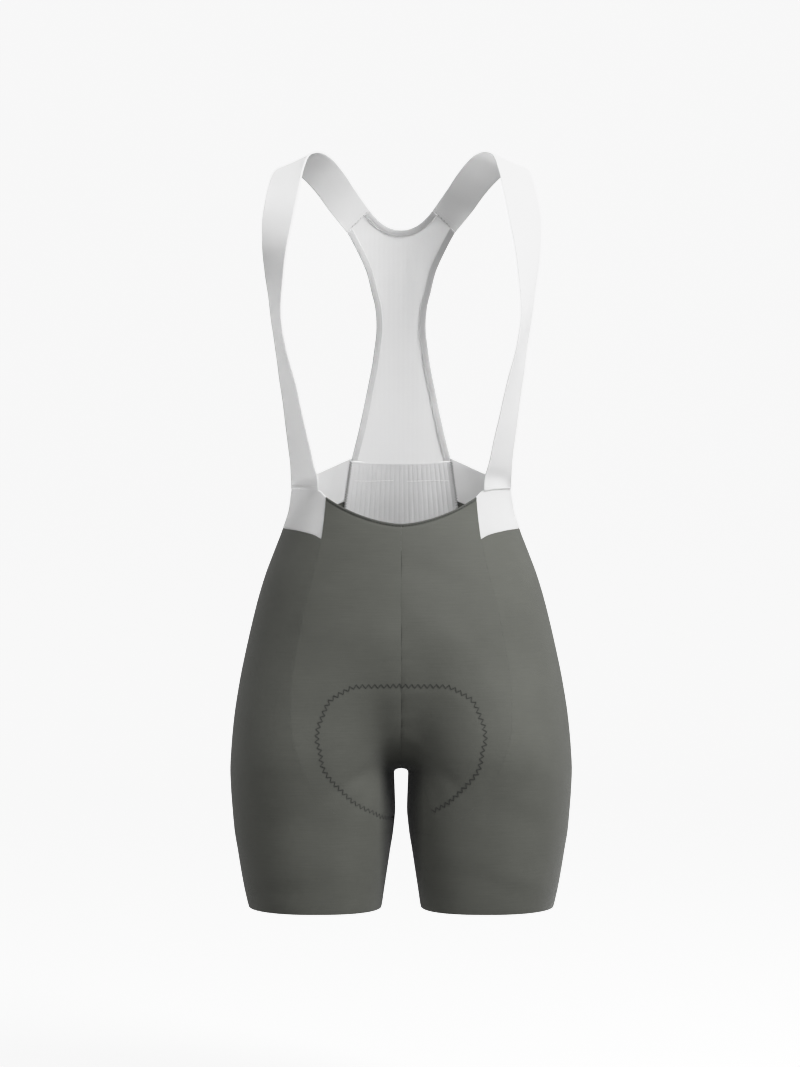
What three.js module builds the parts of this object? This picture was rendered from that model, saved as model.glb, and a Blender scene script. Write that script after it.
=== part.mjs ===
// Women's cycling bib shorts, filled out as worn, in millimetres.
// X runs to the viewer's right, Y to the back and Z up. The origin lies midway between the tops
// of the two straps. A drop is a distance below that origin, so z = -drop.
// Every piece is first worked out for the right half (x > 0), and the left half is its mirror.
import * as THREE from 'three';
import { mergeVertices } from 'three/addons/utils/BufferGeometryUtils.js';

// Driving sizes
const SEAM_GAP = 0.3;
const STRAP_GAP = 0.5;
const CLOTH = 1.2;
const STRAP_CLOTH = 1.6;
const STRAP_WIDTH = 39;
const MESH_CLOTH = 1;
const BINDING_CLOTH = 2;
const RIB_COUNT = 23;
const RIB_HEIGHT = 0.8;
const CROTCH_DROP = 662;
const HEM_DROP = 809;
const TIP_DROP = 732;
const TIP_SHORT = 0.8;
const NARROWEST = 0.4;
const TIP_CLEAR = 4;
const NECK_DROP = 400.3;
const NECK_RISE = 28;
const NECK_POWER = 1.7;
const LUMBAR_DROP = 430;
const LUMBAR_SAG = 2.5;
const BELLY_DROP = 446;
const LEG_POWER = 2.15;
const INNER_POWER = 2.6;
const TORSO_POWER = 2.3;
const MERGE_HEIGHT = 150;
const MERGE_EASE = 0.2;
const BRIDGE_REACH = 11;
const BRIDGE_REACH_ABOVE = 24;
const BRIDGE_SHARE = 0.42;
const BRIDGE_RISE = 20;
const ARCH_HEIGHT = 5;
const CROTCH_SOFTNESS = 8;
const SEAT_SOFTNESS = 40;

// Outline of the body at each drop: half width, inner thigh, and reach to the front and back
const SECTIONS = [
  { drop: 290, outer: 113.5, inner: 6, front: 101, back: 64 },
  { drop: 332, outer: 114.5, inner: 6, front: 102, back: 64 },
  { drop: 361, outer: 117.5, inner: 6, front: 104, back: 66 },
  { drop: 384, outer: 120.5, inner: 6, front: 106.5, back: 70 },
  { drop: 407, outer: 127.5, inner: 6, front: 110, back: 76 },
  { drop: 429, outer: 136, inner: 6, front: 113, back: 83 },
  { drop: 454, outer: 145.5, inner: 6, front: 116, back: 90 },
  { drop: 482, outer: 154, inner: 6, front: 118.5, back: 98 },
  { drop: 525, outer: 164.5, inner: 6, front: 121, back: 108 },
  { drop: 568, outer: 173.5, inner: 6, front: 121.5, back: 113.5 },
  { drop: 611, outer: 180, inner: 6, front: 119.5, back: 112.5 },
  { drop: 640, outer: 182.5, inner: 7, front: 116.5, back: 106 },
  { drop: 662, outer: 183.5, inner: 7.6, front: 113, back: 98 },
  { drop: 686, outer: 182.4, inner: 6.9, front: 110, back: 89.5 },
  { drop: 706, outer: 180.8, inner: 6.3, front: 107.8, back: 84.6 },
  { drop: 728, outer: 178.7, inner: 8.2, front: 105.5, back: 80.5 },
  { drop: 748, outer: 175.3, inner: 11.4, front: 103.7, back: 76.8 },
  { drop: 769, outer: 171.8, inner: 14.6, front: 101.2, back: 72.3 },
  { drop: 790, outer: 167.9, inner: 17.8, front: 98.2, back: 69.2 },
  { drop: 809, outer: 163.5, inner: 20.5, front: 95.5, back: 66.5 },
];

// Distance from the middle of the seam between front and side panels, at each drop
const FRONT_SEAM = [
  { drop: 290, across: 76 },
  { drop: 372, across: 78.5 },
  { drop: 416, across: 83 },
  { drop: 428, across: 85.5 },
  { drop: 458, across: 92.5 },
  { drop: 490, across: 101 },
  { drop: 518, across: 106 },
  { drop: 552, across: 112 },
  { drop: 582, across: 115 },
  { drop: 614, across: 114 },
  { drop: 642, across: 107.5 },
  { drop: 666, across: 97 },
  { drop: 687, across: 84 },
  { drop: 701, across: 70 },
  { drop: 711, across: 54 },
  { drop: 719, across: 37 },
  { drop: 725, across: 21 },
];

// The same for the seam between side panel or yoke and the pieces of the back
const BACK_SEAM = [
  { drop: 290, across: 51 },
  { drop: 328, across: 55 },
  { drop: 375, across: 61.6 },
  { drop: 430, across: 69 },
  { drop: 480, across: 81 },
  { drop: 530, across: 92 },
  { drop: 580, across: 100 },
  { drop: 620, across: 101 },
  { drop: 650, across: 96 },
  { drop: 676, across: 84 },
  { drop: 696, across: 68 },
  { drop: 710, across: 50 },
  { drop: 719, across: 33 },
  { drop: 725, across: 20 },
];

const YOKE_COLUMNS = 20;

// Top and bottom edges of the yoke, along it from the front seam (0) to the lumbar seam (1)
const YOKE_EDGES = [
  { along: 0, top: 372, bottom: 416.5 },
  { along: 0.05, top: 365.5, bottom: 412 },
  { along: 0.12, top: 364, bottom: 409 },
  { along: 0.22, top: 363, bottom: 406.5 },
  { along: 0.44, top: 361.5, bottom: 404 },
  { along: 0.76, top: 346.5, bottom: 391 },
  { along: 1, top: 328, bottom: 375 },
];

// Middle of the strap from the yoke over the shoulder to the back panel. Turn swings its outer
// edge to the back and bank lifts it, both in degrees.
const STRAP_PATH = [
  { x: 101.5, y: -70, drop: 352, turn: 50, bank: 0, width: 46 },
  { x: 103.5, y: -78, drop: 338, turn: 50.5, bank: 0, width: 41 },
  { x: 107, y: -87, drop: 316, turn: 53.5, bank: 0, width: STRAP_WIDTH },
  { x: 112.5, y: -95, drop: 284, turn: 59, bank: 0, width: STRAP_WIDTH },
  { x: 118.4, y: -101, drop: 250, turn: 65, bank: 0, width: STRAP_WIDTH },
  { x: 125.4, y: -104, drop: 214, turn: 72, bank: 0, width: STRAP_WIDTH },
  { x: 129.2, y: -104, drop: 188, turn: 72.5, bank: 0, width: STRAP_WIDTH },
  { x: 130.6, y: -101, drop: 163, turn: 66.5, bank: 0, width: STRAP_WIDTH },
  { x: 131.6, y: -94, drop: 134, turn: 55.5, bank: 0, width: STRAP_WIDTH },
  { x: 131.8, y: -84, drop: 108, turn: 43.5, bank: 0, width: STRAP_WIDTH },
  { x: 130.2, y: -70, drop: 82, turn: 32, bank: 0, width: STRAP_WIDTH },
  { x: 127.6, y: -55, drop: 61, turn: 27.5, bank: 0, width: STRAP_WIDTH },
  { x: 124.6, y: -36, drop: 41, turn: 28, bank: 0, width: STRAP_WIDTH },
  { x: 120.4, y: -17, drop: 22, turn: 29, bank: -5, width: STRAP_WIDTH },
  { x: 114.2, y: 0, drop: 10, turn: 29, bank: -18, width: STRAP_WIDTH },
  { x: 103.5, y: 15, drop: 8, turn: 24, bank: -28, width: STRAP_WIDTH },
  { x: 90.9, y: 31, drop: 14, turn: 18, bank: -34, width: STRAP_WIDTH },
  { x: 77.5, y: 50, drop: 27, turn: 11, bank: -37, width: 38 },
  { x: 63.9, y: 66, drop: 45, turn: 7, bank: -39, width: 37 },
];

// Back panel: depth behind the origin down its middle, and its outer edge
const BACK_DEPTH = [
  { drop: 50, y: 75 },
  { drop: 75, y: 81 },
  { drop: 120, y: 87 },
  { drop: 180, y: 88 },
  { drop: 250, y: 79.5 },
  { drop: 300, y: 69 },
  { drop: 335, y: 64.2 },
];
const BACK_EDGE = [
  { drop: 78.2, across: 59.9 },
  { drop: 89.5, across: 53.2 },
  { drop: 107.5, across: 44.3 },
  { drop: 123, across: 38.1 },
  { drop: 143, across: 33.2 },
  { drop: 162, across: 28.8 },
  { drop: 180, across: 27.6 },
  { drop: 214, across: 31 },
  { drop: 258, across: 39 },
  { drop: 297, across: 47 },
  { drop: 331, across: 55.4 },
];
const BACK_BOW = 6.8;
const BACK_BOW_AT = 55;
const BACK_NECK = { drop: 74.5, seamX: 34.5, seamDrop: 54.1 };
const BINDING_SHARE = 0.2;
const BINDING_WIDTH = 7;

// Colours, roughness and metalness of each kind of cloth
const FINISHES = {
  shorts: new THREE.MeshStandardMaterial({ color: 0x6b6d66, roughness: 0.62, metalness: 0 }),
  elastic: new THREE.MeshStandardMaterial({ color: 0xe6e6e6, roughness: 0.7, metalness: 0 }),
  mesh: new THREE.MeshStandardMaterial({ color: 0xf0f0f0, roughness: 0.85, metalness: 0 }),
  ribbed: new THREE.MeshStandardMaterial({ color: 0xcfcfcf, roughness: 0.85, metalness: 0 }),
  binding: new THREE.MeshStandardMaterial({ color: 0xd2d2d2, roughness: 0.7, metalness: 0 }),
};

const garment = new THREE.Group();

// Small helpers for tables, curves and vectors
const radians = THREE.MathUtils.degToRad;
const clamp = THREE.MathUtils.clamp;
const lerp = THREE.MathUtils.lerp;

function cubic(a, b, c, d, t) {
  const slopeIn = (c - a) / 2;
  const slopeOut = (d - b) / 2;
  const bend = 3 * (c - b) - 2 * slopeIn - slopeOut;
  const twist = slopeIn + slopeOut - 2 * (c - b);
  return b + t * (slopeIn + t * (bend + t * twist));
}

// Value of one column of a table at a place along its key column, on a smooth monotone curve
function lookUp(table, key, column, at) {
  const last = table.length - 1;
  const place = clamp(at, table[0][key], table[last][key]);
  let row = 0;
  while (row < last - 1 && place > table[row + 1][key]) row += 1;
  const slopes = [row, row + 1].map((index) => slopeAt(table, key, column, index));
  const width = table[row + 1][key] - table[row][key];
  const t = (place - table[row][key]) / width;
  const start = table[row][column];
  const rise = table[row + 1][column] - start;
  const bend = 3 * rise - width * (2 * slopes[0] + slopes[1]);
  const twist = width * (slopes[0] + slopes[1]) - 2 * rise;
  return start + t * (width * slopes[0] + t * (bend + t * twist));
}

function slopeAt(table, key, column, index) {
  const slopeBetween = (low) =>
    (table[low + 1][column] - table[low][column]) / (table[low + 1][key] - table[low][key]);
  if (index === 0) return slopeBetween(0);
  if (index === table.length - 1) return slopeBetween(index - 1);
  const before = slopeBetween(index - 1);
  const after = slopeBetween(index);
  return before * after <= 0 ? 0 : (2 * before * after) / (before + after);
}

// Zero of a function that grows from negative at low to positive at high
function findZero(grows, low, high) {
  let from = low;
  let to = high;
  for (let step = 0; step < 34; step += 1) {
    const middle = (from + to) / 2;
    if (grows(middle) < 0) from = middle;
    else to = middle;
  }
  return (from + to) / 2;
}

// Body form: two thighs that merge into one torso above the crotch
const NORMAL_STEP = 0.4;
const superellipse = (across, along, power) =>
  (Math.abs(across) ** power + Math.abs(along) ** power) ** (1 / power);

// Reach of one thigh from the middle, and its centre, with the fork between the thighs softened
function thigh(drop, softness) {
  const far = Math.hypot(lookUp(SECTIONS, 'drop', 'outer', drop), softness);
  const near = Math.hypot(lookUp(SECTIONS, 'drop', 'inner', drop), softness);
  return { near, legCentre: (far + near) / 2, legHalf: (far - near) / 2 };
}

// Share of the torso's form that just closes the gap between the thighs at the crotch
const fork = thigh(CROTCH_DROP, CROTCH_SOFTNESS);
const openness = (fork.near - CROTCH_SOFTNESS) / fork.legHalf;
const CROTCH_SHARE = openness / (1 + openness);

// How far a section has turned from two thighs, at the crotch, into one torso above it
function mergedShare(drop) {
  const height = clamp((CROTCH_DROP - drop) / MERGE_HEIGHT, 0, 1);
  return ((height * height) / (height + MERGE_EASE)) * (1 + MERGE_EASE);
}

// Share of the torso near the middle alone: it closes the crotch, with an arch below it
function bridgeAt(drop) {
  const rise = 1 - Math.exp(-Math.max(CROTCH_DROP - drop, 0) / BRIDGE_RISE);
  const reach = lerp(BRIDGE_REACH, BRIDGE_REACH_ABOVE, rise);
  if (drop <= CROTCH_DROP) return { bridge: lerp(CROTCH_SHARE, BRIDGE_SHARE, rise), reach };
  const below = 1 - clamp((drop - CROTCH_DROP) / ARCH_HEIGHT, 0, 1);
  return { bridge: CROTCH_SHARE * below ** 2, reach };
}

const sectionCache = new Map();
function section(drop) {
  if (sectionCache.has(drop)) return sectionCache.get(drop);
  const merged = mergedShare(drop);
  const softness = lerp(CROTCH_SOFTNESS, SEAT_SOFTNESS, merged);
  const front = lookUp(SECTIONS, 'drop', 'front', drop);
  const back = lookUp(SECTIONS, 'drop', 'back', drop);
  const found = {
    ...thigh(drop, softness),
    ...bridgeAt(drop),
    softness,
    outer: lookUp(SECTIONS, 'drop', 'outer', drop),
    middle: (back - front) / 2,
    depth: (back + front) / 2,
    share: 1 - (1 - merged) ** 2,
    innerPower: lerp(INNER_POWER, LEG_POWER, merged),
  };
  sectionCache.set(drop, found);
  return found;
}

// Negative inside the body and positive outside
function bodyField(x, y, drop) {
  const at = section(drop);
  const along = (y - at.middle) / at.depth;
  const across = Math.hypot(x, at.softness);
  const power = across < at.legCentre ? at.innerPower : LEG_POWER;
  const leg = superellipse((across - at.legCentre) / at.legHalf, along, power) - 1;
  const torso = superellipse(x / at.outer, along, TORSO_POWER) - 1;
  const bridge = at.bridge * Math.exp(-((x / at.reach) ** 2));
  return leg + (torso - leg) * (at.share + bridge * (1 - at.share));
}

function bodyNormal(x, y, drop) {
  const slope = (dx, dy, dDrop) =>
    bodyField(x + dx, y + dy, drop + dDrop) - bodyField(x - dx, y - dy, drop - dDrop);
  const step = NORMAL_STEP;
  return new THREE.Vector3(slope(step, 0, 0), slope(0, step, 0), -slope(0, 0, step)).normalize();
}

// Point of the body in the vertical plane at x, towards the front (-1) or the back (+1)
function bodyAt(x, drop, side) {
  const { middle, depth } = section(drop);
  const reach = findZero((away) => bodyField(x, middle + side * away, drop), 0, depth * 1.6);
  return new THREE.Vector3(x, middle + side * reach, -drop);
}

// Ring of the right half at one drop, from the centre front or inner thigh round to the back
const RING_STEPS = 260;
const SLANT_STEP = 0.5;
const ringCache = new Map();
function ringAt(drop) {
  if (ringCache.has(drop)) return ringCache.get(drop);
  const at = section(drop);
  const centre = at.legCentre;
  const joined = drop < CROTCH_DROP;
  const sideAngle = (side) => {
    if (!joined) return 0;
    return Math.atan2(Math.abs(bodyAt(0, drop, side).y - at.middle), centre);
  };
  const from = sideAngle(-1);
  const to = 2 * Math.PI - sideAngle(1);
  const points = [];
  const lengths = [0];
  for (let step = 0; step <= RING_STEPS; step += 1) {
    const angle = lerp(from, to, step / RING_STEPS);
    const dx = -Math.cos(angle);
    const dy = -Math.sin(angle);
    const onRay = (away) => bodyField(centre + dx * away, at.middle + dy * away, drop);
    const farthest = dx < 0 ? Math.min(centre / -dx, at.outer * 1.5) : at.outer * 1.5;
    const away = findZero(onRay, at.legHalf * 0.3, farthest);
    points.push(new THREE.Vector2(Math.max(centre + dx * away, 0), at.middle + dy * away));
    if (step > 0) lengths.push(lengths[step - 1] + points[step].distanceTo(points[step - 1]));
  }
  const ring = { drop, points, lengths, total: lengths[RING_STEPS] };
  ringCache.set(drop, ring);
  return ring;
}

function pointOnRing(ring, share) {
  const wanted = clamp(share, 0, 1) * ring.total;
  let step = 1;
  while (step < RING_STEPS && ring.lengths[step] < wanted) step += 1;
  const span = ring.lengths[step] - ring.lengths[step - 1];
  const t = (wanted - ring.lengths[step - 1]) / span;
  const flat = ring.points[step - 1].clone().lerp(ring.points[step], t);
  return new THREE.Vector3(flat.x, flat.y, -ring.drop);
}

// Share of the ring at which it passes a distance from the middle, on its front or back half
function shareAtDistance(ring, across, side) {
  const step = side < 0 ? 1 : -1;
  let index = side < 0 ? 0 : RING_STEPS;
  while (ring.points[index + step].x < across) index += step;
  const span = ring.points[index + step].x - ring.points[index].x;
  const t = clamp((across - ring.points[index].x) / span, 0, 1);
  return lerp(ring.lengths[index], ring.lengths[index + step], t) / ring.total;
}

// Shares of the ring at the two long seams. Both reach the inner thigh at the tip.
function seamShare(drop, side) {
  const table = side < 0 ? FRONT_SEAM : BACK_SEAM;
  const end = side < 0 ? 0 : 1;
  if (drop >= TIP_DROP) return end;
  const last = table[table.length - 1];
  const ring = ringAt(Math.min(drop, last.drop));
  const share = shareAtDistance(ring, lookUp(table, 'drop', 'across', drop), side);
  if (drop <= last.drop) return share;
  return lerp(share, end, (drop - last.drop) / (TIP_DROP - last.drop));
}

const centreFront = () => 0;
const centreBack = () => 1;
const frontSeam = (drop) => seamShare(drop, -1);
const backSeam = (drop) => seamShare(drop, 1);

// Half of the seam gap as a share of the ring, wider where a seam between panels runs aslant
function gapShare(drop, seam) {
  const ring = ringAt(drop);
  const plain = SEAM_GAP / 2 / ring.total;
  if (seam === centreFront || seam === centreBack || drop > TIP_DROP - TIP_SHORT) return plain;
  const along = pointOnRing(ring, seam(drop) + 1 / RING_STEPS);
  along.sub(pointOnRing(ring, seam(drop) - 1 / RING_STEPS)).normalize();
  const climb = pointOnRing(ringAt(drop + SLANT_STEP), seam(drop + SLANT_STEP));
  climb.sub(pointOnRing(ringAt(drop - SLANT_STEP), seam(drop - SLANT_STEP)));
  return plain * Math.hypot(1, climb.dot(along) / (2 * SLANT_STEP));
}

// Grid of body points between two seams. dropAt gives the drop of each row in each column.
function bodyGrid(rows, columns, leftSeam, rightSeam, dropAt) {
  const grid = [];
  for (let row = 0; row <= rows; row += 1) {
    const line = [];
    for (let column = 0; column <= columns; column += 1) {
      const along = column / columns;
      const drop = dropAt(row, along);
      const ring = ringAt(drop);
      const start = leftSeam(drop) + gapShare(drop, leftSeam);
      const end = rightSeam(drop) - gapShare(drop, rightSeam);
      const width = Math.max(end - start, NARROWEST / ring.total);
      const from = leftSeam === centreFront ? start : end - width;
      const point = pointOnRing(ring, from + width * along);
      line.push({ point, normal: bodyNormal(point.x, point.y, drop) });
    }
    grid.push(line);
  }
  return grid;
}

// Normals of a free grid of points, taken from its own rows and columns
function withNormals(points) {
  const rows = points.length - 1;
  const columns = points[0].length - 1;
  return points.map((line, row) => line.map((point, column) => {
    const down = points[Math.min(row + 1, rows)][column].clone();
    down.sub(points[Math.max(row - 1, 0)][column]);
    const over = line[Math.min(column + 1, columns)].clone();
    over.sub(line[Math.max(column - 1, 0)]);
    return { point, normal: down.cross(over).normalize() };
  }));
}

// Closed wall of cloth from a grid: outer points, raised by an optional relief, over a plain
// inside. Each square of the grid is cut along its shorter diagonal.
function wall(grid, thickness, relief = () => 0) {
  const rows = grid.length;
  const columns = grid[0].length;
  const vertices = [];
  const corner = (inside, row, column) => (inside * rows + row) * columns + column;
  for (const inside of [0, 1]) {
    grid.forEach((line, row) => line.forEach(({ point, normal }, column) => {
      const shift = inside ? -thickness : relief(row, column);
      const moved = point.clone().addScaledVector(normal, shift);
      vertices.push(moved.x, moved.y, moved.z);
    }));
  }
  const faces = [];
  const quad = (a, b, c, d) => faces.push(a, b, c, a, c, d);
  const apart = (one, other) => grid[one[0]][one[1]].point.distanceTo(grid[other[0]][other[1]].point);
  for (let row = 0; row < rows - 1; row += 1) {
    for (let column = 0; column < columns - 1; column += 1) {
      const square = [[row, column], [row + 1, column], [row + 1, column + 1], [row, column + 1]];
      if (apart(square[1], square[3]) < apart(square[0], square[2])) square.push(square.shift());
      const [a, b, c, d] = square;
      quad(...[a, b, c, d].map((place) => corner(0, ...place)));
      quad(...[a, d, c, b].map((place) => corner(1, ...place)));
    }
  }
  const rim = [];
  for (let row = 0; row < rows - 1; row += 1) rim.push([row, 0]);
  for (let column = 0; column < columns - 1; column += 1) rim.push([rows - 1, column]);
  for (let row = rows - 1; row > 0; row -= 1) rim.push([row, columns - 1]);
  for (let column = columns - 1; column > 0; column -= 1) rim.push([0, column]);
  rim.forEach(([row, column], index) => {
    const [nextRow, nextColumn] = rim[(index + 1) % rim.length];
    quad(corner(0, nextRow, nextColumn), corner(0, row, column),
      corner(1, row, column), corner(1, nextRow, nextColumn));
  });
  const geometry = new THREE.BufferGeometry();
  geometry.setAttribute('position', new THREE.Float32BufferAttribute(vertices, 3));
  geometry.setIndex(faces);
  return faceOutwards(mergeVertices(geometry, 1e-5));
}

function signedVolume(geometry) {
  const position = geometry.getAttribute('position');
  const [a, b, c] = [0, 1, 2].map(() => new THREE.Vector3());
  let volume = 0;
  for (let index = 0; index < geometry.index.count; index += 3) {
    [a, b, c].forEach((v, k) => v.fromBufferAttribute(position, geometry.index.getX(index + k)));
    volume += a.dot(b.cross(c)) / 6;
  }
  return volume;
}

function faceOutwards(geometry) {
  const order = Array.from(geometry.index.array);
  if (signedVolume(geometry) < 0) {
    for (let index = 0; index < order.length; index += 3) {
      [order[index], order[index + 1]] = [order[index + 1], order[index]];
    }
  }
  geometry.setIndex(order);
  geometry.computeVertexNormals();
  return geometry;
}

function addPiece(name, geometry, finish) {
  const piece = new THREE.Mesh(geometry, finish);
  piece.name = name;
  garment.add(piece);
}

// A piece for each side of the body: the right one as worked out, the left one mirrored
function addPair(name, grid, thickness, finish) {
  const mirrored = grid.map((line) => line.map(({ point, normal }) => ({
    point: new THREE.Vector3(-point.x, point.y, point.z),
    normal: new THREE.Vector3(-normal.x, normal.y, normal.z),
  })));
  addPiece(`${name}_right`, wall(grid, thickness), finish);
  addPiece(`${name}_left`, wall(mirrored, thickness), finish);
}

// Level rows of the shorts, crowded towards the crotch from above and from below
const ROWS_ABOVE = 14;
const ROWS_BELOW = 11;
const CROWDING_ABOVE = 2;
const CROWDING_BELOW = 1.45;
const TIP_ROWS = [0, 0.25, 0.5, 0.75, 1];
function levelRows() {
  const drops = [];
  for (let row = 0; row <= ROWS_ABOVE; row += 1) {
    const height = (CROTCH_DROP - BELLY_DROP) * (1 - row / ROWS_ABOVE) ** CROWDING_ABOVE;
    drops.push(CROTCH_DROP - height);
  }
  for (let row = 1; row <= ROWS_BELOW; row += 1) {
    drops.push(CROTCH_DROP + (HEM_DROP - CROTCH_DROP) * (row / ROWS_BELOW) ** CROWDING_BELOW);
  }
  const beforeTip = FRONT_SEAM[FRONT_SEAM.length - 1].drop;
  const spaced = drops.filter((drop) => drop < beforeTip - TIP_CLEAR || drop > TIP_DROP + TIP_CLEAR);
  const nearTip = TIP_ROWS.map((share) => lerp(beforeTip, TIP_DROP, share));
  const levels = [...spaced, ...nearTip].sort((a, b) => a - b);
  return { drops: levels, tipRow: levels.indexOf(TIP_DROP) };
}

const LEVELS = levelRows();

// Rows that fan out from a shaped top edge to the first level row, then follow the level rows.
// A panel that ends in a tip stops just short of it.
function fannedRows(topEdge, fan, lastLevel) {
  const fanRows = fan.length - 1;
  const rows = fanRows + lastLevel;
  const dropAt = (row, along) => {
    if (row <= fanRows) return lerp(topEdge(along), LEVELS.drops[0], fan[row]);
    const drop = LEVELS.drops[row - fanRows];
    return row === rows && lastLevel === LEVELS.tipRow ? drop - TIP_SHORT : drop;
  };
  return { rows, dropAt };
}

const yokeTop = (along) => lookUp(YOKE_EDGES, 'along', 'top', along);
const yokeBottom = (along) => lookUp(YOKE_EDGES, 'along', 'bottom', along);

// Shares of the way down at which the rows under the neckline and the yoke fan out
const NECK_FAN = [0, 0.3, 0.6, 0.8, 1];
const YOKE_FAN = [0, 0.5, 1];
const LUMBAR_FAN = [0, 1];
const PANEL_COLUMNS = 8;
const SIDE_COLUMNS = 30;
const YOKE_ROWS = 2;

function frontPanels() {
  const neckline = (along) => NECK_DROP - NECK_RISE * along ** NECK_POWER;
  const { rows, dropAt } = fannedRows(neckline, NECK_FAN, LEVELS.tipRow);
  const grid = bodyGrid(rows, PANEL_COLUMNS, centreFront, frontSeam, dropAt);
  addPair('front', grid, CLOTH, FINISHES.shorts);
}

function sidePanels() {
  const edge = (along) => yokeBottom(along) + SEAM_GAP;
  const { rows, dropAt } = fannedRows(edge, YOKE_FAN, LEVELS.drops.length - 1);
  const grid = bodyGrid(rows, SIDE_COLUMNS, frontSeam, backSeam, dropAt);
  addPair('side', grid, CLOTH, FINISHES.shorts);
}

function backPanels() {
  const edge = () => LUMBAR_DROP + SEAM_GAP;
  const { rows, dropAt } = fannedRows(edge, LUMBAR_FAN, LEVELS.tipRow);
  const grid = bodyGrid(rows, PANEL_COLUMNS, backSeam, centreBack, dropAt);
  addPair('back', grid, CLOTH, FINISHES.shorts);
}

function yokes() {
  const dropAt = (row, along) => lerp(yokeTop(along), yokeBottom(along), row / YOKE_ROWS);
  const grid = bodyGrid(YOKE_ROWS, YOKE_COLUMNS, frontSeam, backSeam, dropAt);
  addPair('yoke', grid, CLOTH, FINISHES.elastic);
}

// Ribbed panel at the small of the back, with upright ribs raised on its outside
function lumbarPanel() {
  const rows = 5;
  const columns = 2 * RIB_COUNT;
  const topDrop = BACK_EDGE[BACK_EDGE.length - 1].drop + SEAM_GAP;
  const grid = [];
  for (let row = 0; row <= rows; row += 1) {
    const line = [];
    for (let column = 0; column <= columns; column += 1) {
      const across = (2 * column) / columns - 1;
      const top = topDrop + LUMBAR_SAG * (1 - across * across);
      const drop = lerp(top, LUMBAR_DROP, row / rows);
      const edge = pointOnRing(ringAt(drop), backSeam(drop) + gapShare(drop, backSeam));
      const point = bodyAt(across * edge.x, drop, 1);
      line.push({ point, normal: bodyNormal(point.x, point.y, drop) });
    }
    grid.push(line);
  }
  const relief = (row, column) => (column % 2 === 1 ? RIB_HEIGHT : 0);
  addPiece('lumbar_panel', wall(grid, CLOTH, relief), FINISHES.ribbed);
}

// Surface of the back panel, bowed forwards towards its edges
function backPoint(across, drop) {
  const bow = BACK_BOW * (across / BACK_BOW_AT) ** 2;
  return new THREE.Vector3(across, lookUp(BACK_DEPTH, 'drop', 'y', drop) - bow, -drop);
}

// Slanted seam where the strap meets the back panel: 0 at the neck and 1 at the outer edge
function strapSeam(share, away = 0) {
  const end = BACK_EDGE[0];
  const run = end.across - BACK_NECK.seamX;
  const fall = end.drop - BACK_NECK.seamDrop;
  const length = Math.hypot(run, fall);
  const across = BACK_NECK.seamX + run * share - (fall / length) * away;
  const drop = BACK_NECK.seamDrop + fall * share + (run / length) * away;
  return backPoint(across, drop);
}

function straps() {
  const across = 3;
  const steps = 2;
  const rows = [];
  const path = STRAP_PATH;
  const baseRow = [];
  const backRow = [];
  for (let k = 0; k <= across; k += 1) {
    // The strap's points stand on every second column of the yoke's top edge.
    const along = (2 * k + 1) / YOKE_COLUMNS;
    const drop = yokeTop(along) - STRAP_GAP;
    const share = lerp(frontSeam(drop), backSeam(drop), along);
    baseRow.push(pointOnRing(ringAt(drop), share));
    backRow.push(strapSeam(k / across, -SEAM_GAP));
  }
  rows.push(baseRow);
  for (let index = 0; index < (path.length - 1) * steps + 1; index += 1) {
    const row = Math.min(Math.floor(index / steps), path.length - 2);
    const t = index / steps - row;
    const near = [row - 1, row, row + 1, row + 2].map((n) => path[clamp(n, 0, path.length - 1)]);
    const value = (name) => cubic(...near.map((place) => place[name]), t);
    const turn = radians(value('turn'));
    const bank = radians(value('bank'));
    const centre = new THREE.Vector3(value('x'), value('y'), -value('drop'));
    const outwards = new THREE.Vector3(
      Math.cos(bank) * Math.cos(turn), Math.cos(bank) * Math.sin(turn), Math.sin(bank));
    const line = [];
    for (let k = 0; k <= across; k += 1) {
      const offset = value('width') * (k / across - 0.5);
      line.push(centre.clone().addScaledVector(outwards, offset));
    }
    rows.push(line);
  }
  rows.push(backRow);
  addPair('strap', withNormals(rows), STRAP_CLOTH, FINISHES.elastic);
}

// Inner and outer edges of the bindings round the back panel. Near its top the side edge fades
// over to the end of the strap seam.
const EDGE_FADE = 1 / 8;
const NECK_ROUND = 2.2;
const sideEdge = (share, inset) => {
  const [first, last] = [BACK_EDGE[0], BACK_EDGE[BACK_EDGE.length - 1]];
  const start = strapSeam(1 - (inset * BINDING_SHARE) / BINDING_WIDTH, SEAM_GAP);
  const drop = lerp(first.drop, last.drop, share);
  const slope = (lookUp(BACK_EDGE, 'drop', 'across', drop + 1)
    - lookUp(BACK_EDGE, 'drop', 'across', drop - 1)) / 2;
  const edge = lookUp(BACK_EDGE, 'drop', 'across', drop);
  const straight = backPoint(edge - inset * Math.hypot(1, slope), drop);
  const fade = clamp(1 - share / EDGE_FADE, 0, 1);
  return backPoint(lerp(straight.x, start.x, fade), lerp(drop, -start.z, fade));
};

const neckEdge = (along, inset) => {
  const end = strapSeam((inset * BINDING_SHARE) / BINDING_WIDTH, SEAM_GAP);
  const middle = BACK_NECK.drop + inset;
  const drop = middle + (-end.z - middle) * Math.abs(along) ** NECK_ROUND;
  return backPoint(end.x * along, drop);
};

function bindings() {
  const sideRows = 14;
  const neckRows = 8;
  const strips = [0, 0.5, 1];
  const sides = [];
  for (let row = 0; row <= sideRows; row += 1) {
    sides.push(strips.map((strip) => sideEdge(row / sideRows, strip * BINDING_WIDTH)));
  }
  addPair('side_binding', withNormals(sides), BINDING_CLOTH, FINISHES.binding);
  const neck = [];
  for (let row = 0; row <= neckRows; row += 1) {
    const along = (2 * row) / neckRows - 1;
    neck.push(strips.map((strip) => neckEdge(along, strip * BINDING_WIDTH)));
  }
  addPiece('neck_binding', wall(withNormals(neck), BINDING_CLOTH), FINISHES.binding);
}

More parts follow.
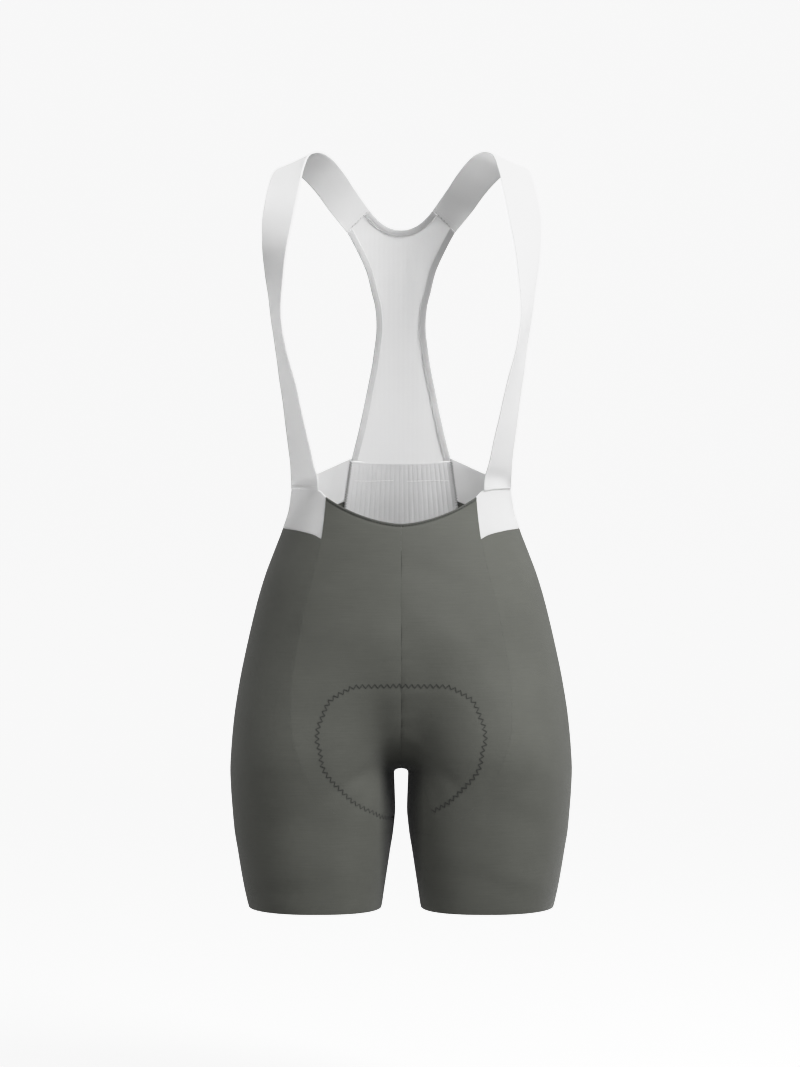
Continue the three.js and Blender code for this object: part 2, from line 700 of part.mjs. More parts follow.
// Mesh panel of the back, inside its bindings
function backPanel() {
  const rows = 14;
  const columns = 12;
  const inset = BINDING_WIDTH + SEAM_GAP;
  const cornerShare = 2 / 3;
  const bottom = BACK_EDGE[BACK_EDGE.length - 1].drop;
  const topPoint = (along) => {
    if (along <= cornerShare) return neckEdge(along / cornerShare, inset);
    const start = (inset * BINDING_SHARE) / BINDING_WIDTH;
    const share = lerp(start, 1 - start, (along - cornerShare) / (1 - cornerShare));
    return strapSeam(share, SEAM_GAP);
  };
  const grid = [];
  for (let row = 0; row <= rows; row += 1) {
    const line = [];
    const down = row / rows;
    for (let column = 0; column <= columns; column += 1) {
      const across = (2 * column) / columns - 1;
      const along = Math.abs(across);
      const top = topPoint(along);
      const side = sideEdge(down, inset);
      const bottomEdge = bottom + LUMBAR_SAG * (1 - along * along);
      const straightSide = lerp(topPoint(1).x, sideEdge(1, inset).x, down);
      const x = lerp(top.x, sideEdge(1, inset).x * along, down) + along * (side.x - straightSide);
      const straightDrop = lerp(-topPoint(1).z, bottom, down);
      const drop = lerp(-top.z, bottomEdge, down) + along * (-side.z - straightDrop);
      line.push(backPoint(Math.sign(across) * x, drop));
    }
    grid.push(line);
  }
  addPiece('back_panel', wall(withNormals(grid), MESH_CLOTH), FINISHES.mesh);
}

frontPanels();
sidePanels();
backPanels();
yokes();
lumbarPanel();
straps();
bindings();
backPanel();

export default garment;
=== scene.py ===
import math

import bpy
import numpy as np
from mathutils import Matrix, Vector
from mathutils.bvhtree import BVHTree


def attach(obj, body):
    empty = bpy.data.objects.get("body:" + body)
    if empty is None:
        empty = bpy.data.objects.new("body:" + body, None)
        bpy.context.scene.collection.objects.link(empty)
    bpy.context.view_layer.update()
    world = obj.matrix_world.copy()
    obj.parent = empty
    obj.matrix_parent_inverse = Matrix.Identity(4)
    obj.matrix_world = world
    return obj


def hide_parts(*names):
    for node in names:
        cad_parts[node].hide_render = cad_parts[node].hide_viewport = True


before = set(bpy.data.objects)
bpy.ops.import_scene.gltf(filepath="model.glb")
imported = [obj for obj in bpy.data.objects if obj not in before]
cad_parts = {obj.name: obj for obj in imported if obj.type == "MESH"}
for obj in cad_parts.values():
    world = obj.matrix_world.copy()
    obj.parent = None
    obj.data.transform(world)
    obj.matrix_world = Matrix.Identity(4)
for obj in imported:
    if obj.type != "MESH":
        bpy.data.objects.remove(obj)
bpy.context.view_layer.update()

MM = 0.001

# Driving sizes
SEAM_GAP = 0.03
NARROWEST = 0.3
CLOTH = 1.0
STRAP_CLOTH = 1.5
STRAP_WIDTH = 39
MESH_CLOTH = 0.9
BINDING_CLOTH = 1.8
BINDING_WIDTH = 7
BINDING_SHARE = 0.2
FOLD_BEND = 0.0016
SHARP_FROM = 50
SEAM_CREST = 0.6
SEAM_FALL = 9
VALLEY_WIDTH = 14
SEAM_FADE_DROP = 690
SEAM_FADE = 60
FOLD_DEPTH = 55
HEM_STITCH = 3.4
HEM_ROWS = (0, 0.35, 0.8, 1.4, 2.1, 2.8, 3.4, 4.0, 5.0)
HEM_SHADE_ROWS = 5
STREAKS = 0.22
PAD_STITCH_ROWS = 16
PAD_STITCH_WIDTH = 4.4
PAD_STITCH_PITCH = 6.4
PAD_LIFT = 0.25
PAD_SLOPE = 10
PAD_GROOVE = 0.02
YOKE_COLUMNS = 20
STRAP_GAP = 0.02
STRAP_STEPS = 8
LUMBAR_SAG = 2.5
PANEL_OVERLAP = 1.2
NECK_ROUND = 2.2
RIB_COUNT = 23
RIB_DEPTH = 0.27
CROTCH_DROP = 662
HEM_DROP = 809
TIP_DROP = 732
TIP_STEP = 0.7
TIP_REACH = 16
NECK_DROP = 400.3
NECK_RISE = 28
NECK_POWER = 1.7
PHOTO_HEIGHT = 1067
PHOTO_FOCUS = 2804
LUMBAR_DROP = 430
BELLY_DROP = 446
LEG_POWER = 2.15
INNER_POWER = 2.6
TORSO_POWER = 2.3
MERGE_HEIGHT = 150
MERGE_EASE = 0.2
BRIDGE_REACH = (11, 24)
BRIDGE_SHARE = 0.42
BRIDGE_RISE = 20
ARCH_HEIGHT = 5
CROTCH_SOFTNESS = 8
SEAT_SOFTNESS = 40
BACK_BOW = 6.8
BACK_BOW_AT = 55
BACK_NECK = {"drop": 74.5, "across": 34.5, "seam_drop": 54.1}


def columns(names, *rows):
    """A table: each name with its column of numbers."""
    return dict(zip(names.split(), np.array(rows, float).T))


# Depth of the valley that the centre seams pull into the cloth, at each drop
CENTRE_VALLEY = columns(
    "drop depth",
    (400, 0.4), (470, 0.8), (540, 1.6), (580, 2.5), (615, 2.9), (635, 2.5), (652, 1.2), (662, 0.2),
    (666, 0),
)

# The body's outline, the seams and the edges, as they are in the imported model
SECTIONS = columns(
    "drop outer inner front back",
    (290, 113.5, 6, 101, 64),
    (332, 114.5, 6, 102, 64),
    (361, 117.5, 6, 104, 66),
    (384, 120.5, 6, 106.5, 70),
    (407, 127.5, 6, 110, 76),
    (429, 136, 6, 113, 83),
    (454, 145.5, 6, 116, 90),
    (482, 154, 6, 118.5, 98),
    (525, 164.5, 6, 121, 108),
    (568, 173.5, 6, 121.5, 113.5),
    (611, 180, 6, 119.5, 112.5),
    (640, 182.5, 7, 116.5, 106),
    (662, 183.5, 7.6, 113, 98),
    (686, 182.4, 6.9, 110, 89.5),
    (706, 180.8, 6.3, 107.8, 84.6),
    (728, 178.7, 8.2, 105.5, 80.5),
    (748, 175.3, 11.4, 103.7, 76.8),
    (769, 171.8, 14.6, 101.2, 72.3),
    (790, 167.9, 17.8, 98.2, 69.2),
    (809, 163.5, 20.5, 95.5, 66.5),
)
FRONT_SEAM = columns(
    "drop across",
    (290, 76), (372, 78.5), (416, 83), (428, 85.5), (458, 92.5), (490, 101), (518, 106),
    (552, 112), (582, 115), (614, 114), (642, 107.5), (666, 97), (687, 84), (701, 70),
    (711, 54), (719, 37), (725, 21),
)
BACK_SEAM = columns(
    "drop across",
    (290, 51), (328, 55), (375, 61.6), (430, 69), (480, 81), (530, 92), (580, 100),
    (620, 101), (650, 96), (676, 84), (696, 68), (710, 50), (719, 33), (725, 20),
)
YOKE_EDGES = columns(
    "along top bottom",
    (0, 372, 416.5), (0.05, 365.5, 412), (0.12, 364, 409), (0.22, 363, 406.5),
    (0.44, 361.5, 404), (0.76, 346.5, 391), (1, 328, 375),
)
STRAP_PATH = columns(
    "x y drop turn bank width",
    (101.5, -70, 352, 50, 0, 46),
    (103.5, -78, 338, 50.5, 0, 41),
    (107, -87, 316, 53.5, 0, STRAP_WIDTH),
    (112.5, -95, 284, 59, 0, STRAP_WIDTH),
    (118.4, -101, 250, 65, 0, STRAP_WIDTH),
    (125.4, -104, 214, 72, 0, STRAP_WIDTH),
    (129.2, -104, 188, 72.5, 0, STRAP_WIDTH),
    (130.6, -101, 163, 66.5, 0, STRAP_WIDTH),
    (131.6, -94, 134, 55.5, 0, STRAP_WIDTH),
    (131.8, -84, 108, 43.5, 0, STRAP_WIDTH),
    (130.2, -70, 82, 32, 0, STRAP_WIDTH),
    (127.6, -55, 61, 27.5, 0, STRAP_WIDTH),
    (124.6, -36, 41, 28, 0, STRAP_WIDTH),
    (120.4, -17, 22, 29, -5, STRAP_WIDTH),
    (114.2, 0, 10, 29, -18, STRAP_WIDTH),
    (103.5, 15, 8, 24, -28, STRAP_WIDTH),
    (90.9, 31, 14, 18, -34, STRAP_WIDTH),
    (77.5, 50, 27, 11, -37, 38),
    (63.9, 66, 45, 7, -39, 37),
)
BACK_DEPTH = columns(
    "drop y",
    (50, 75), (75, 81), (120, 87), (180, 88), (250, 79.5), (300, 69), (335, 64.2),
)
BACK_EDGE = columns(
    "drop across",
    (78.2, 59.9), (89.5, 53.2), (107.5, 44.3), (123, 38.1), (143, 33.2), (162, 28.8),
    (180, 27.6), (214, 31), (258, 39), (297, 47), (331, 55.4),
)


# Curves through tables
def look_up(table, key, column, at):
    """Smooth monotone curve through a table's column, at one place or an array of places."""
    x, y = table[key], table[column]
    steps = np.diff(y) / np.diff(x)
    slopes = np.empty(len(x))
    slopes[0], slopes[-1] = steps[0], steps[-1]
    same = steps[:-1] * steps[1:] > 0
    total = np.where(same, steps[:-1] + steps[1:], 1)
    slopes[1:-1] = np.where(same, 2 * steps[:-1] * steps[1:] / total, 0)
    at = np.clip(np.asarray(at, float), x[0], x[-1])
    row = np.clip(np.searchsorted(x, at) - 1, 0, len(x) - 2)
    width = x[row + 1] - x[row]
    t = (at - x[row]) / width
    rise = y[row + 1] - y[row]
    bend = 3 * rise - width * (2 * slopes[row] + slopes[row + 1])
    twist = width * (slopes[row] + slopes[row + 1]) - 2 * rise
    return y[row] + t * (width * slopes[row] + t * (bend + t * twist))


def through(values, at):
    """Curve through evenly numbered values, like a bent spline, at an array of row numbers."""
    last = len(values) - 1
    row = np.clip(np.floor(at).astype(int), 0, last - 1)
    t = (at - row).reshape(-1, *[1] * (values.ndim - 1))
    a, b, c, d = (values[np.clip(row + k, 0, last)] for k in (-1, 0, 1, 2))
    slope_in, slope_out = (c - a) / 2, (d - b) / 2
    bend = 3 * (c - b) - 2 * slope_in - slope_out
    twist = slope_in + slope_out - 2 * (c - b)
    return b + t * (slope_in + t * (bend + t * twist))


def mix(a, b, t):
    return a + (b - a) * t


def find_zero(grows, low, high):
    """Zeros of a function that grows from low to high, by halving, for whole arrays."""
    for _ in range(34):
        middle = (low + high) / 2
        inside = grows(middle) < 0
        low = np.where(inside, middle, low)
        high = np.where(inside, high, middle)
    return (low + high) / 2


# Body form: two thighs that merge into one torso above the crotch
def superellipse(across, along, power):
    return (np.abs(across) ** power + np.abs(along) ** power) ** (1 / power)


def section(drop):
    outer, inner, front, back = (
        look_up(SECTIONS, "drop", name, drop) for name in ("outer", "inner", "front", "back")
    )
    merged = merged_share(drop)
    bridge, reach = bridge_share(drop)
    softness = mix(CROTCH_SOFTNESS, SEAT_SOFTNESS, merged)
    far, near = np.hypot(outer, softness), np.hypot(inner, softness)
    return {
        "softness": softness, "outer": outer, "near": near,
        "middle": (back - front) / 2, "depth": (back + front) / 2,
        "leg_centre": (far + near) / 2, "leg_half": (far - near) / 2,
        "share": 1 - (1 - merged) ** 2, "bridge": bridge, "reach": reach,
        "inner_power": mix(INNER_POWER, LEG_POWER, merged),
    }


def merged_share(drop):
    """How far a section has turned from two thighs, at the crotch, into one torso above it."""
    height = np.clip((CROTCH_DROP - drop) / MERGE_HEIGHT, 0, 1)
    return height * height / (height + MERGE_EASE) * (1 + MERGE_EASE)


def bridge_share(drop):
    """Share of the torso near the middle alone: it closes the crotch, with an arch below it."""
    rise = 1 - np.exp(-np.clip(CROTCH_DROP - drop, 0, None) / BRIDGE_RISE)
    above = CROTCH_SHARE + (BRIDGE_SHARE - CROTCH_SHARE) * rise
    below = CROTCH_SHARE * (1 - np.clip((drop - CROTCH_DROP) / ARCH_HEIGHT, 0, 1)) ** 2
    reach = mix(*BRIDGE_REACH, rise)
    return np.where(np.asarray(drop) <= CROTCH_DROP, above, below), reach


CROTCH_SHARE = 0
CROTCH = section(np.float64(CROTCH_DROP))
OPENNESS = (CROTCH["near"] - CROTCH["softness"]) / CROTCH["leg_half"]
CROTCH_SHARE = OPENNESS / (1 + OPENNESS)


def body_field(x, y, at):
    """Negative inside the body and positive outside, for the section at."""
    along = (y - at["middle"]) / at["depth"]
    across = np.hypot(x, at["softness"])
    power = np.where(across < at["leg_centre"], at["inner_power"], LEG_POWER)
    leg = superellipse((across - at["leg_centre"]) / at["leg_half"], along, power) - 1
    torso = superellipse(x / at["outer"], along, TORSO_POWER) - 1
    bridge = at["bridge"] * np.exp(-(x / at["reach"]) ** 2)
    return leg + (torso - leg) * (at["share"] + bridge * (1 - at["share"]))


def body_normals(points):
    x, y, drop = points[..., 0], points[..., 1], -points[..., 2]
    step = 0.4
    at = section(drop)
    slopes = (
        body_field(x + step, y, at) - body_field(x - step, y, at),
        body_field(x, y + step, at) - body_field(x, y - step, at),
        body_field(x, y, section(drop - step)) - body_field(x, y, section(drop + step)),
    )
    return unit(np.stack(slopes, -1))


def unit(vectors):
    return vectors / np.maximum(np.linalg.norm(vectors, axis=-1, keepdims=True), 1e-12)


def level_drops():
    """Drops of the level rows of the shorts, closer together above the crotch and the seam tips."""
    above = CROTCH_DROP - (CROTCH_DROP - BELLY_DROP) * np.linspace(1, 0, 96) ** 2.1
    below = CROTCH_DROP + (HEM_DROP - CROTCH_DROP) * np.linspace(0, 1, 58)[1:] ** 1.25
    tip = TIP_DROP - TIP_STEP - TIP_REACH * np.linspace(0, 1, 16) ** 1.5
    drops = np.union1d(np.concatenate([above, below]), [TIP_DROP])
    apart = (drops < tip[-1] - TIP_STEP) | (drops > TIP_DROP + TIP_STEP) | (drops == TIP_DROP)
    return np.union1d(drops[apart], tip)


class Rings:
    """Rings of the right half, from the centre front or inner thigh round to the back."""

    def __init__(self, drops, samples=640):
        self.drops = drops
        at = {name: value[:, None] for name, value in section(drops).items()}
        centre, middle = at["leg_centre"], at["middle"]
        joined = drops[:, None] < CROTCH_DROP
        ends = []
        for side in (-1, 1):
            reach = find_zero(
                lambda away: body_field(0 * away, middle + side * away, at),
                np.zeros_like(centre), at["depth"] * 1.6,
            )
            ends.append(np.where(joined, np.arctan2(reach, centre), 0))
        angle = mix(ends[0], 2 * math.pi - ends[1], np.linspace(0, 1, samples + 1)[None, :])
        dx, dy = -np.cos(angle), -np.sin(angle)
        farthest = np.minimum(at["outer"] * 1.5, centre / np.maximum(-dx, 1e-3))
        away = find_zero(
            lambda r: body_field(centre + dx * r, middle + dy * r, at),
            at["leg_half"] * 0.3 + 0 * dx, farthest,
        )
        x, y = np.maximum(centre + dx * away, 0), middle + dy * away
        steps = np.hypot(np.diff(x, axis=1), np.diff(y, axis=1))
        lengths = np.concatenate([0 * steps[:, :1], np.cumsum(steps, axis=1)], axis=1)
        self.total = lengths[:, -1]
        self.side = np.array([run[np.argmax(line)] for run, line in zip(lengths, x)])
        self.shares = np.linspace(0, 1, samples + 1)
        even = [np.interp(self.shares * run[-1], run, line) for run, line in zip(lengths, x)]
        self.x = np.array(even)
        even = [np.interp(self.shares * run[-1], run, line) for run, line in zip(lengths, y)]
        self.y = np.array(even)
        self.seams = {side: self._seam(side) for side in (-1, 1)}
        self.gaps = {side: self._gap(side) for side in (-1, 1)}

    def _seam(self, side):
        """Share of each ring at the front or back seam, which ends in the tip at the thigh."""
        table = FRONT_SEAM if side < 0 else BACK_SEAM
        last = table["drop"][-1]
        across = look_up(table, "drop", "across", self.drops)
        found = []
        for x, distance in zip(self.x, across):
            widest = int(np.argmax(x))
            if side < 0:
                found.append(np.interp(distance, x[:widest], self.shares[:widest]))
            else:
                found.append(np.interp(distance, x[:widest:-1], self.shares[:widest:-1]))
        found = np.array(found)
        at_last = np.interp(last, self.drops, found)
        end = 0.0 if side < 0 else 1.0
        fade = np.clip((self.drops - last) / (TIP_DROP - last), 0, 1)
        return np.where(self.drops > last, mix(at_last, end, fade), found)

    def seam(self, side, drop):
        return np.interp(drop, self.drops, self.seams[side])

    def gap(self, side, drop):
        """Half of the seam gap as a share of the ring, wider where the seam runs aslant."""
        return np.interp(drop, self.drops, self.gaps[side])

    def _gap(self, side):
        share, step = self.seams[side], 1 / (len(self.shares) - 1)
        path = self.point(share, self.drops)
        run = self.point(share + step, self.drops) - self.point(share - step, self.drops)
        climb = np.gradient(path, self.drops, axis=0)
        slant = np.sum(climb * unit(run), -1)
        return SEAM_GAP / 2 * np.hypot(1, slant) / self.total

    def from_side(self, share, drop):
        """Distance along the cloth from the outermost line of the leg, negative at the front."""
        return share * self.length(drop) - np.interp(drop, self.drops, self.side)

    def length(self, drop):
        return np.interp(drop, self.drops, self.total)

    def point(self, share, drop):
        share = np.clip(share, 0, 1)
        drop = np.asarray(drop, float)
        row = np.clip(np.searchsorted(self.drops, drop) - 1, 0, len(self.drops) - 2)
        t = (drop - self.drops[row]) / (self.drops[row + 1] - self.drops[row])
        step = share * (len(self.shares) - 1)
        cell = np.clip(step.astype(int), 0, len(self.shares) - 2)
        u = step - cell

        def smooth(grid):
            upper = mix(grid[row, cell], grid[row, cell + 1], u)
            lower = mix(grid[row + 1, cell], grid[row + 1, cell + 1], u)
            return mix(upper, lower, t)

        return np.stack([smooth(self.x), smooth(self.y), -np.asarray(drop, float)], -1)


LEVELS = level_drops()
RINGS = Rings(np.concatenate([np.arange(292, BELLY_DROP - 1, 2.0), LEVELS]))


# Grids of cloth: points, outward normals, and places on the cloth for its weave
class Cloth:
    def __init__(self, points, normals, over, down):
        self.points = points
        self.normals = normals
        self.over = np.broadcast_to(over, points.shape[:2])
        self.down = np.broadcast_to(down, points.shape[:2])

    def mirrored(self):
        flip = np.array([-1.0, 1.0, 1.0])
        return Cloth(self.points * flip, self.normals * flip, -self.over, self.down)


def edge_steps(width, steps=(0, 0.35, 0.9, 1.7, 2.8, 4.2), pitch=3.0):
    """Shares across a width, close together at both ends and even between them."""
    near = np.array(steps) / width
    count = max(int(round((width - 2 * steps[-1]) / pitch)), 2)
    inner = np.linspace(near[-1], 1 - near[-1], count + 1)
    return np.unique(np.round(np.concatenate([near, inner, 1 - near]), 7))


def body_cloth(drops, along, left, right):
    """Cloth on the body between two seams: centre_front, front, back and centre_back."""
    length = RINGS.length(drops)
    edges = []
    for seam, away in ((left, 1), (right, -1)):
        if seam in ("front", "back"):
            side = -1 if seam == "front" else 1
            edges.append(RINGS.seam(side, drops) + away * RINGS.gap(side, drops))
        else:
            end = 0 if seam == "centre_front" else 1
            edges.append(end + away * SEAM_GAP / 2 / length)
    start, end = edges
    if left == "centre_front":
        end = np.maximum(end, start + NARROWEST / length)
    if right == "centre_back":
        start = np.minimum(start, end - NARROWEST / length)
    share = mix(start, end, along[None, :])
    points = RINGS.point(share, drops)
    return Cloth(points, body_normals(points), RINGS.from_side(share, drops), drops)


def fanned(top, fan, levels, along):
    """Drops of rows that fan out from a shaped top edge, and then follow level rows."""
    upper = mix(top[None, :], BELLY_DROP, fan[:, None])
    lower = np.repeat(levels[:, None], len(along), axis=1)
    return np.concatenate([upper, lower])


def free_normals(points):
    down = np.gradient(points, axis=0)
    over = np.gradient(points, axis=1)
    return unit(np.cross(down, over))


# Soft folds, listed one by one. Each has a place (x and drop, at the front or back), half length, half
# width, height and lean from upright in degrees. Negative heights are troughs.
FOLDS_RIGHT = columns(
    "face x drop reach spread height lean",
    (-1, 26, 640, 26, 7, 0.7, 38),
    (-1, 44, 662, 30, 8, -0.8, 52),
    (-1, 30, 690, 26, 8, 0.6, 20),
    (-1, 60, 520, 60, 16, 0.8, 52),
    (-1, 96, 548, 60, 14, -0.7, 40),
    (-1, 30, 560, 70, 16, -0.6, 24),
    (-1, 132, 600, 60, 13, 0.6, 8),
    (-1, 120, 706, 40, 16, -0.6, 66),
    (-1, 70, 768, 46, 12, -0.5, 82),
    (-1, 128, 772, 40, 10, 0.5, 74),
    (-1, 24, 450, 46, 12, -0.6, 70),
    (1, 40, 690, 34, 8, -1.2, 68),
    (1, 66, 672, 40, 8, 1.0, 60),
    (1, 30, 636, 46, 8, -1.1, -26),
    (1, 60, 560, 60, 15, -0.8, -14),
    (1, 110, 610, 60, 16, 0.7, 8),
    (1, 104, 738, 46, 10, -0.7, 80),
    (1, 62, 786, 34, 9, 0.5, 78),
    (1, 44, 476, 50, 12, 0.7, -36),
)
FOLDS_LEFT = columns(
    "face x drop reach spread height lean",
    (-1, 24, 634, 28, 7, 0.8, 34),
    (-1, 50, 668, 28, 8, -0.9, 56),
    (-1, 26, 682, 30, 9, 0.9, 26),
    (-1, 68, 560, 60, 16, -0.6, 30),
    (-1, 40, 600, 60, 14, 0.5, 14),
    (-1, 104, 520, 56, 14, 0.6, 18),
    (-1, 140, 580, 56, 13, -0.6, 12),
    (-1, 128, 716, 44, 16, -0.7, 72),
    (-1, 92, 762, 42, 14, 0.4, 78),
    (-1, 136, 786, 34, 9, -0.5, 82),
    (-1, 60, 448, 44, 12, -0.6, 62),
    (1, 46, 694, 36, 8, -1.1, 72),
    (1, 72, 680, 40, 8, 1.0, 64),
    (1, 26, 628, 44, 8, -1.0, -22),
    (1, 54, 548, 56, 14, -0.7, -18),
    (1, 116, 624, 66, 18, 0.7, 12),
    (1, 96, 748, 44, 9, -0.8, 78),
    (1, 70, 792, 34, 8, 0.5, 84),
    (1, 50, 486, 46, 12, 0.6, -30),
)


def body_point(face, x, drop):
    """Point on the front (-1) or back (1) of the body, and its outward normal."""
    at = section(np.float64(drop))
    reach = find_zero(lambda r: body_field(x, at["middle"] + face * r, at),
                      np.float64(0), at["depth"] * 1.5)
    point = np.array([x, at["middle"] + face * reach, -drop])
    return point, body_normals(point)


def fold_heights(cloth, folds):
    heights = np.zeros(cloth.down.shape)
    names = ("face", "x", "drop", "reach", "spread", "height", "lean")
    for face, x, drop, reach, spread, height, lean in zip(*(folds[name] for name in names)):
        centre, normal = body_point(face, x, drop)
        side = unit(np.array([-normal[1], normal[0], 0.0]))
        away = cloth.points - centre
        over, down = away @ side, -away[..., 2]
        cosine, sine = math.cos(math.radians(lean)), math.sin(math.radians(lean))
        across = over * cosine - down * sine
        along = over * sine + down * cosine
        across = across + FOLD_BEND * along * along
        fade = np.exp(-np.abs(along / reach) ** 3 - (away @ normal / FOLD_DEPTH) ** 2)
        heights += height * fade * np.exp(-(across / spread) ** 2)
    return heights


# The seat pad's edge, seen from the front and from the back: its zigzag stitch follows it
PAD_FRONT = columns(
    "x drop",
    (0, 569), (20, 569), (40.5, 569), (51, 570), (59.3, 574.3), (65.5, 577.8), (75.5, 585.7),
    (82.2, 601.3), (86.3, 612.4), (87.4, 626.9), (84.8, 634.6), (81.1, 654.4), (72.2, 667.9),
    (60.3, 680.1), (48.3, 691.8), (31.2, 702.2), (19.1, 709.2), (7.3, 712.6),
)
PAD_BACK = columns(
    "x drop",
    (0, 522), (18, 523), (36, 527), (52, 535), (65, 548), (74, 564), (80, 584), (82, 606),
    (80, 628), (74, 650), (64, 670), (50, 686), (34, 699), (20, 708), (7.3, 713),
)


def pad_distance(points):
    """Distance in from the pad's edge, negative outside it, in millimetres seen along Y."""
    x, y, drop = np.abs(points[..., 0]), points[..., 1], -points[..., 2]
    middle = section(drop)["middle"]
    result = np.zeros(x.shape)
    for table, here in ((PAD_FRONT, y < middle), (PAD_BACK, y >= middle)):
        tops = np.column_stack([table["x"], table["drop"]])
        line = np.concatenate([tops, [[0, tops[-1, 1]]]])
        nearest = np.full(x.shape, np.inf)
        crossings = np.zeros(x.shape, int)
        for (ax, ad), (bx, bd) in zip(line[:-1], line[1:]):
            run = (bx - ax) ** 2 + (bd - ad) ** 2
            t = np.clip(((x - ax) * (bx - ax) + (drop - ad) * (bd - ad)) / run, 0, 1)
            if not (ax <= 7.3 and bx == 0 and ad == bd):
                gap = np.hypot(x - ax - t * (bx - ax), drop - ad - t * (bd - ad))
                nearest = np.minimum(nearest, gap)
            if ad != bd:
                level = (drop - ad) / (bd - ad)
                beyond = ax + level * (bx - ax) > x
                crossings += ((level >= 0) & (level < 1) & beyond).astype(int)
        below = np.maximum(tops[-1, 1] - drop, 0)
        near_end = (x < tops[-1, 0]) & (drop > tops[-1, 1] - 40)
        nearest = np.where(near_end, np.abs(tops[-1, 1] - drop), nearest)
        inside = (crossings % 2 == 1) | ((x <= tops[-1, 0]) & (below > 0) & (drop > tops[0, 1]))
        result = np.where(here, np.where(inside, nearest, -nearest), result)
    return result


def pad_heights(cloth):
    """The pad lifts the cloth a little, and its stitch draws a fine groove."""
    inside = pad_distance(cloth.points)
    lift = np.clip(inside / PAD_SLOPE + 0.3, 0, 1)
    groove = np.exp(-(inside / 1.3) ** 2)
    return PAD_LIFT * lift * lift * (3 - 2 * lift) - PAD_GROOVE * groove


def ripple(place, seed):
    """Uneven wave from -1 to 1 along a seam."""
    waves = ((7.1, 0.5), (11.9, 0.3), (4.3, 0.2), (27.0, 0.35))
    parts = [size * np.sin(2 * math.pi * place / length + seed * (k + 1.7))
             for k, (length, size) in enumerate(waves)]
    return sum(parts)


def from_edge(cloth, edge):
    """Distance over the cloth from one of its four edges."""
    axis = 1 if edge in ("left", "right") else 0
    steps = np.linalg.norm(np.diff(cloth.points, axis=axis), axis=-1)
    start = np.zeros_like(np.take(steps, [0], axis))
    away = np.concatenate([start, np.cumsum(steps, axis=axis)], axis=axis)
    return away if edge in ("left", "top") else np.take(away, [-1], axis) - away


def seam_heights(cloth, seams, seed):
    """Soft crest, groove and pucker at sewn edges. Seams gives the crest at each named edge."""
    heights = np.zeros(cloth.down.shape)
    fade = np.clip((SEAM_FADE_DROP - cloth.down) / SEAM_FADE, 0, 1)
    for k, (edge, crest) in enumerate(seams.items()):
        away = from_edge(cloth, edge)
        place = cloth.down if edge in ("left", "right") else cloth.over
        groove = 0.06 * np.exp(-(away / 0.8) ** 2)
        pucker = 0.1 * ripple(place, seed + 2.3 * k) * np.exp(-(away / 6) ** 2)
        heights += fade * (crest * np.exp(-away / SEAM_FALL) - groove + pucker)
    return heights


def centre_valley(cloth, edge, seed):
    """Valley beside a centre seam, as deep as its table says and a little uneven."""
    depth = look_up(CENTRE_VALLEY, "drop", "depth", cloth.down)
    uneven = 1 + 0.1 * ripple(cloth.down * 0.3, seed)
    return -depth * uneven * np.exp(-from_edge(cloth, edge) / VALLEY_WIDTH)


def turned_hem(cloth, seed):
    """Narrow hem turned in along the top edge, with a groove where it is sewn down."""
    away = from_edge(cloth, "top")
    roll = 0.35 * np.exp(-((away - 1.4) / 1.2) ** 2) - 0.3 * np.exp(-((away - HEM_STITCH) / 0.7) ** 2)
    return roll * (1 + 0.25 * ripple(cloth.over * 0.4, seed))


# Meshes
EDGE_PLACES = {
    "top": (0, slice(None)), "bottom": (-1, slice(None)),
    "left": (slice(None), 0), "right": (slice(None), -1),
}
ALL_EDGES = tuple(EDGE_PLACES)


def shell(cloth, thickness, heights=0.0, inner_heights=None, free=ALL_EDGES, pinch=0.45):
    """Closed thin shell of cloth, rounded at its free edges: points, faces and places on it."""
    rows, cols = cloth.down.shape
    heights = np.broadcast_to(heights, (rows, cols))
    inner_heights = heights if inner_heights is None else np.broadcast_to(inner_heights, (rows, cols))
    rim = np.ones((rows, cols))
    for edge in free:
        rim[EDGE_PLACES[edge]] = pinch
    middle = heights - thickness / 2
    outer = cloth.points + cloth.normals * (middle + rim * thickness / 2)[..., None]
    below = inner_heights - thickness / 2
    inner = cloth.points + cloth.normals * (below - rim * thickness / 2)[..., None]
    points = np.concatenate([outer.reshape(-1, 3), inner.reshape(-1, 3)])
    number = np.arange(rows * cols).reshape(rows, cols)
    other = number + rows * cols

    def quads(grid):
        corners = (grid[:-1, :-1], grid[1:, :-1], grid[1:, 1:], grid[:-1, 1:])
        return np.stack([corner.ravel() for corner in corners], -1)

    rim_line = np.concatenate([
        number[:-1, 0], number[-1, :-1], number[:0:-1, -1], number[0, :0:-1],
    ])
    after = np.roll(rim_line, -1)
    edge = np.stack([after, rim_line, rim_line + rows * cols, after + rows * cols], -1)
    faces = np.concatenate([quads(number), quads(other)[:, ::-1], edge])
    place = np.stack([cloth.over, cloth.down], -1).reshape(-1, 2)
    return points, faces, np.concatenate([place, place])


def signed_volume(points, faces):
    a, b, c, d = (points[faces[:, k]] for k in range(4))
    volume = np.einsum("ij,ij->i", a, np.cross(b, c)) + np.einsum("ij,ij->i", a, np.cross(c, d))
    return volume.sum() / 6


def split_short(points, faces):
    """The same four-cornered faces, turned so that each is cut on its shorter diagonal."""
    spans = [np.linalg.norm(points[faces[:, k]] - points[faces[:, k + 2]], axis=1) for k in (0, 1)]
    return np.where((spans[1] < spans[0])[:, None], np.roll(faces, -1, axis=1), faces)


PIECES = {}


